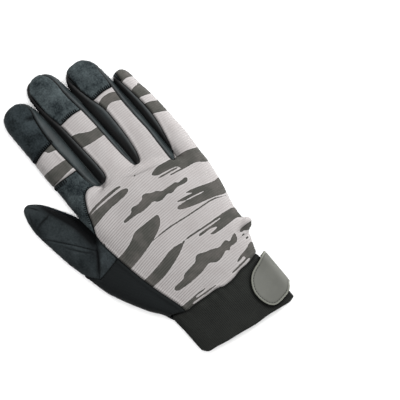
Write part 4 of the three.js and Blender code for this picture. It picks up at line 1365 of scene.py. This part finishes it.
def makeTab(look):
    outline = tabOutline(look)
    low, high = outline.min(0) - 1, outline.max(0) + 1
    step = look["cell"] * 1
    ss = np.arange(low[0], high[0], step)
    ys = np.arange(low[1], high[1], step)
    s, y = np.meshgrid(ss, ys, indexing="ij")
    grid = np.arange(s.size).reshape(s.shape)
    a, b, c, d = grid[:-1, :-1].ravel(), grid[1:, :-1].ravel(), grid[1:, 1:].ravel(), grid[:-1, 1:].ravel()
    tris = np.concatenate([np.stack([a, b, c], 1), np.stack([a, c, d], 1)])
    flat = np.stack([s.ravel(), y.ravel(), 0 * s.ravel()], 1)
    mesh = {"points": flat, "normals": np.tile([0.0, 0, 1], (len(flat), 1)), "tris": tris}
    mesh, _ = splitMesh(mesh, outlineDistance(mesh["points"], outline), 0.12)
    away = -outlineDistance(mesh["points"], outline)
    for ring in (0.35, 0.9):
        mesh, _ = cutMesh(mesh, away - ring, 0.05)
        away = -outlineDistance(mesh["points"], outline)
    away = np.maximum(away, 0)
    border = boundaryEdges(mesh["tris"])
    away[np.unique(border)] = 0
    rounded = np.sqrt(1 - (1 - np.clip(away / look["bevel"], 0, 1)) ** 2)
    half = look["thick"] / 2 * (look["edgeShare"] + (1 - look["edgeShare"]) * rounded)
    groove = look["rimDeep"] * np.exp(-(((away - look["rimAt"]) / look["rimWide"]) ** 2))
    s, y = mesh["points"][:, 0], mesh["points"][:, 1]
    upper = tabPlace(look, s, y, half - groove)
    lower = tabPlace(look, s, y, -half)
    count = len(upper)
    p, q = border[:, 0], border[:, 1]
    rim = np.concatenate([np.stack([q, p, p + count], 1), np.stack([q, p + count, q + count], 1)])
    tris = np.concatenate([mesh["tris"], mesh["tris"][:, ::-1] + count, rim])
    seam = np.concatenate([away, away])
    piece = newMesh("wrist_tab_rubber", np.vstack([upper, lower]), tris, finishes["tab"], {"seam": seam})
    return piece, (upper, mesh["tris"])


tab, tabTop = makeTab(tabLook)
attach(tab, "root")
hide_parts("wrist_tab")
print("tab made")

# Stitches: one Geometry Nodes tree sets small thread beads along a line that lies on the cloth


def stitchTree():
    tree = bpy.data.node_groups.new("stitches", "GeometryNodeTree")
    tree.interface.new_socket("Geometry", in_out="INPUT", socket_type="NodeSocketGeometry")
    for label, value in (("Spacing", 1.5), ("Length", 1.0), ("Thickness", 0.4), ("Turn", 0.0)):
        tree.interface.new_socket(label, in_out="INPUT", socket_type="NodeSocketFloat").default_value = value
    tree.interface.new_socket("Thread", in_out="INPUT", socket_type="NodeSocketMaterial")
    tree.interface.new_socket("Geometry", in_out="OUTPUT", socket_type="NodeSocketGeometry")
    entry = tree.nodes.new("NodeGroupInput").outputs
    leave = tree.nodes.new("NodeGroupOutput").inputs
    curve = place(tree, "GeometryNodeMeshToCurve", {"Mesh": entry["Geometry"]}).outputs[0]
    resampled = place(tree, "GeometryNodeResampleCurve", {"Curve": curve, "Length": entry["Spacing"]},
                      mode="LENGTH")
    tangent = place(tree, "GeometryNodeInputTangent").outputs[0]
    up = place(tree, "GeometryNodeInputNamedAttribute", {"Name": "up"}, data_type="FLOAT_VECTOR").outputs[0]
    turned = place(tree, "ShaderNodeVectorRotate", {"Vector": tangent, "Axis": up, "Angle": entry["Turn"]})
    first = place(tree, "FunctionNodeAlignRotationToVector", {"Vector": turned.outputs[0]}, axis="X")
    second = place(tree, "FunctionNodeAlignRotationToVector", {"Rotation": first.outputs[0], "Vector": up},
                   axis="Z", pivot_axis="X").outputs[0]
    thick = entry["Thickness"]
    size = place(tree, "ShaderNodeCombineXYZ", {0: entry["Length"], 1: thick, 2: thick})
    bead = place(tree, "GeometryNodeMeshUVSphere", {"Segments": 7, "Rings": 6, "Radius": 0.5}).outputs[0]
    shaped = place(tree, "GeometryNodeTransform", {"Geometry": bead, "Scale": size.outputs[0]}).outputs[0]
    beads = place(tree, "GeometryNodeInstanceOnPoints",
                  {"Points": resampled.outputs[0], "Instance": shaped, "Rotation": second})
    real = place(tree, "GeometryNodeRealizeInstances", {"Geometry": beads.outputs[0]}).outputs[0]
    smooth = place(tree, "GeometryNodeSetShadeSmooth", {"Geometry": real}).outputs[0]
    done = place(tree, "GeometryNodeSetMaterial", {"Geometry": smooth, "Material": entry["Thread"]})
    tree.links.new(done.outputs[0], leave[0])
    return tree


stitches = stitchTree()


def sewLine(name, points, ups, look, thread):
    mesh = bpy.data.meshes.new(name)
    places = toFrame(points)
    mesh.from_pydata(places.tolist(), [(i, i + 1) for i in range(len(places) - 1)], [])
    upward = mesh.attributes.new("up", "FLOAT_VECTOR", "POINT")
    upward.data.foreach_set("vector", np.array(ups, np.float32).ravel())
    path = bpy.data.objects.new(name + "_path", mesh)
    bpy.context.scene.collection.objects.link(path)
    modifier = path.modifiers.new("stitches", "NODES")
    modifier.node_group = stitches
    values = {"Spacing": look["spacing"] / 1000, "Length": look["long"] / 1000,
              "Thickness": look["thick"] / 1000, "Turn": math.radians(look["turn"]),
              "Thread": finishes[thread]}
    for item in stitches.interface.items_tree:
        if item.in_out == "INPUT" and item.name in values:
            modifier[item.identifier] = values[item.name]
    ready = path.evaluated_get(bpy.context.evaluated_depsgraph_get())
    made = bpy.data.meshes.new_from_object(ready)
    made.name = name
    bpy.data.objects.remove(path)
    piece = bpy.data.objects.new(name, made)
    bpy.context.scene.collection.objects.link(piece)
    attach(piece, "root")
    return piece


def clothTree(parts):
    base = 0
    points = []
    tris = []
    for outer, faces in parts:
        points.append(outer)
        tris.append(faces + base)
        base += len(outer)
    return BVHTree.FromPolygons(np.vstack(points).tolist(), np.concatenate(tris).tolist())


dropFrom = 60.0
steepest = 0.15  # no stitch where the cloth turns down further than this


def dropLine(tree, line, lift, step=0.5):
    line = np.array(line, float)
    length = np.concatenate([[0], np.cumsum(np.linalg.norm(np.diff(line, axis=0), axis=1))])
    at = np.arange(0, length[-1], step)
    points = []
    ups = []
    for x, y in zip(np.interp(at, length, line[:, 0]), np.interp(at, length, line[:, 1])):
        hit, normal, _, _ = tree.ray_cast((x, y, dropFrom), (0, 0, -1))
        if hit is None or normal.z < steepest:
            continue
        points.append(hit + normal * lift)
        ups.append(normal)
    return points, ups


def shifted(line, by):
    line = np.array(line, float)
    way = np.gradient(line, axis=0)
    way /= np.linalg.norm(way, axis=1)[:, None]
    return line + by * np.stack([-way[:, 1], way[:, 0]], 1)


topTree = clothTree(outside)
whip = {"spacing": 1.5, "long": 3.2, "thick": 0.75, "turn": 90.0, "lift": 0.12}
sewn = {  # each line beside its seam, and the part of it that is sewn
    "index_cap_stitches": {"seam": capSeams["index"], "off": 1.5, "part": (2, -2)},
    "middle_cap_stitches": {"seam": capSeams["middle"], "off": 1.5, "part": (4, -4)},
    "ring_cap_stitches": {"seam": capSeams["ring"], "off": 1.5, "part": (3, -3)},
    "base_patch_stitches": {"seam": patchTop, "off": -2.0, "part": (0, -7), "spacing": 1.8},
    "patch_side_stitches": {"seam": knitSeam, "off": -1.2, "part": (3, 20), "long": 1.6},
}
for name, own in sewn.items():
    look = {**whip, **own}
    line = shifted(smoothLine(look["seam"]), look["off"])[slice(*look["part"])]
    points, ups = dropLine(topTree, line, look["lift"])
    sewLine(name, points, ups, look, "thread")
tabTree = clothTree([tabTop])
tabSewing = {"spacing": 2.0, "long": 1.2, "thick": 0.5, "turn": 0.0, "off": 1.75, "part": (4, -3),
             "lift": 0.02}
tabEdge = shifted(smoothLine(tabLook["outline"], 1), tabSewing["off"])[slice(*tabSewing["part"])]
points, ups = dropLine(tabTree, tabEdge, tabSewing["lift"])
sewLine("tab_stitches", points, ups, tabSewing, "tabThread")
print("stitches made")

# Flat rectangles of the cloth panels, stage and light

leastSpan = 0.012
cutMargin = 1.02  # a panel's flat rectangle holds its whole area, with a little to spare
for piece in clothPieces.values():
    box = np.array([v.co for v in piece.data.vertices])
    wide, long = np.maximum(box.max(0) - box.min(0), leastSpan)[:2]
    area = sheetAreas[piece.name]
    grow = math.sqrt(max(1.0, area / (wide * long) * cutMargin))
    wide, long = wide * grow, long * grow


floorLook = {"reach": 3.0, "under": 0.0002, "rough": 0.9, "tone": (0.9, 0.9, 0.9, 1)}


def makeStage(look):
    reach = look["reach"]
    mesh = bpy.data.meshes.new("floor")
    corners = [(-reach, -reach), (reach, -reach), (reach, reach), (-reach, reach)]
    mesh.from_pydata([(x, y, -look["under"]) for x, y in corners], [], [(0, 1, 2, 3)])
    material, _, socket = newMaterial("pale_floor", look["rough"])
    socket["Base Color"].default_value = look["tone"]
    mesh.materials.append(material)
    floor = bpy.data.objects.new("floor", mesh)
    bpy.context.scene.collection.objects.link(floor)
    return floor


lightAim = (0, 0, 0)  # the glove's middle


def areaLight(name, at, size, power):
    light = bpy.data.lights.new(name, "AREA")
    light.shape = "DISK"
    light.size = size
    light.energy = power
    lamp = bpy.data.objects.new(name, light)
    lamp.location = at
    lamp.rotation_euler = (Vector(lightAim) - Vector(at)).to_track_quat("-Z", "Y").to_euler()
    bpy.context.scene.collection.objects.link(lamp)
    return lamp


def makeLight(floor):
    scene = bpy.context.scene
    scene.view_settings.view_transform = "Standard"
    world = bpy.data.worlds.new("studio")
    world.use_nodes = True
    background = world.node_tree.nodes["Background"].inputs
    background["Color"].default_value = (1, 1, 1, 1)
    background["Strength"].default_value = 0.28
    scene.world = world
    areaLight("key", at=(1.3, 0.3, 1.1), size=0.6, power=24)
    areaLight("top", at=(0.3, 0.3, 1.9), size=1.8, power=16)
    backdrop = areaLight("backdrop", at=(0, 0, 2.2), size=2.0, power=44)  # lights the floor alone
    backdrop.light_linking.receiver_collection = bpy.data.collections.new("backdrop_lit")
    backdrop.light_linking.receiver_collection.objects.link(floor)
    backdrop.light_linking.blocker_collection = bpy.data.collections.new("backdrop_blockers")


makeLight(makeStage(floorLook))
print("stage and light made")
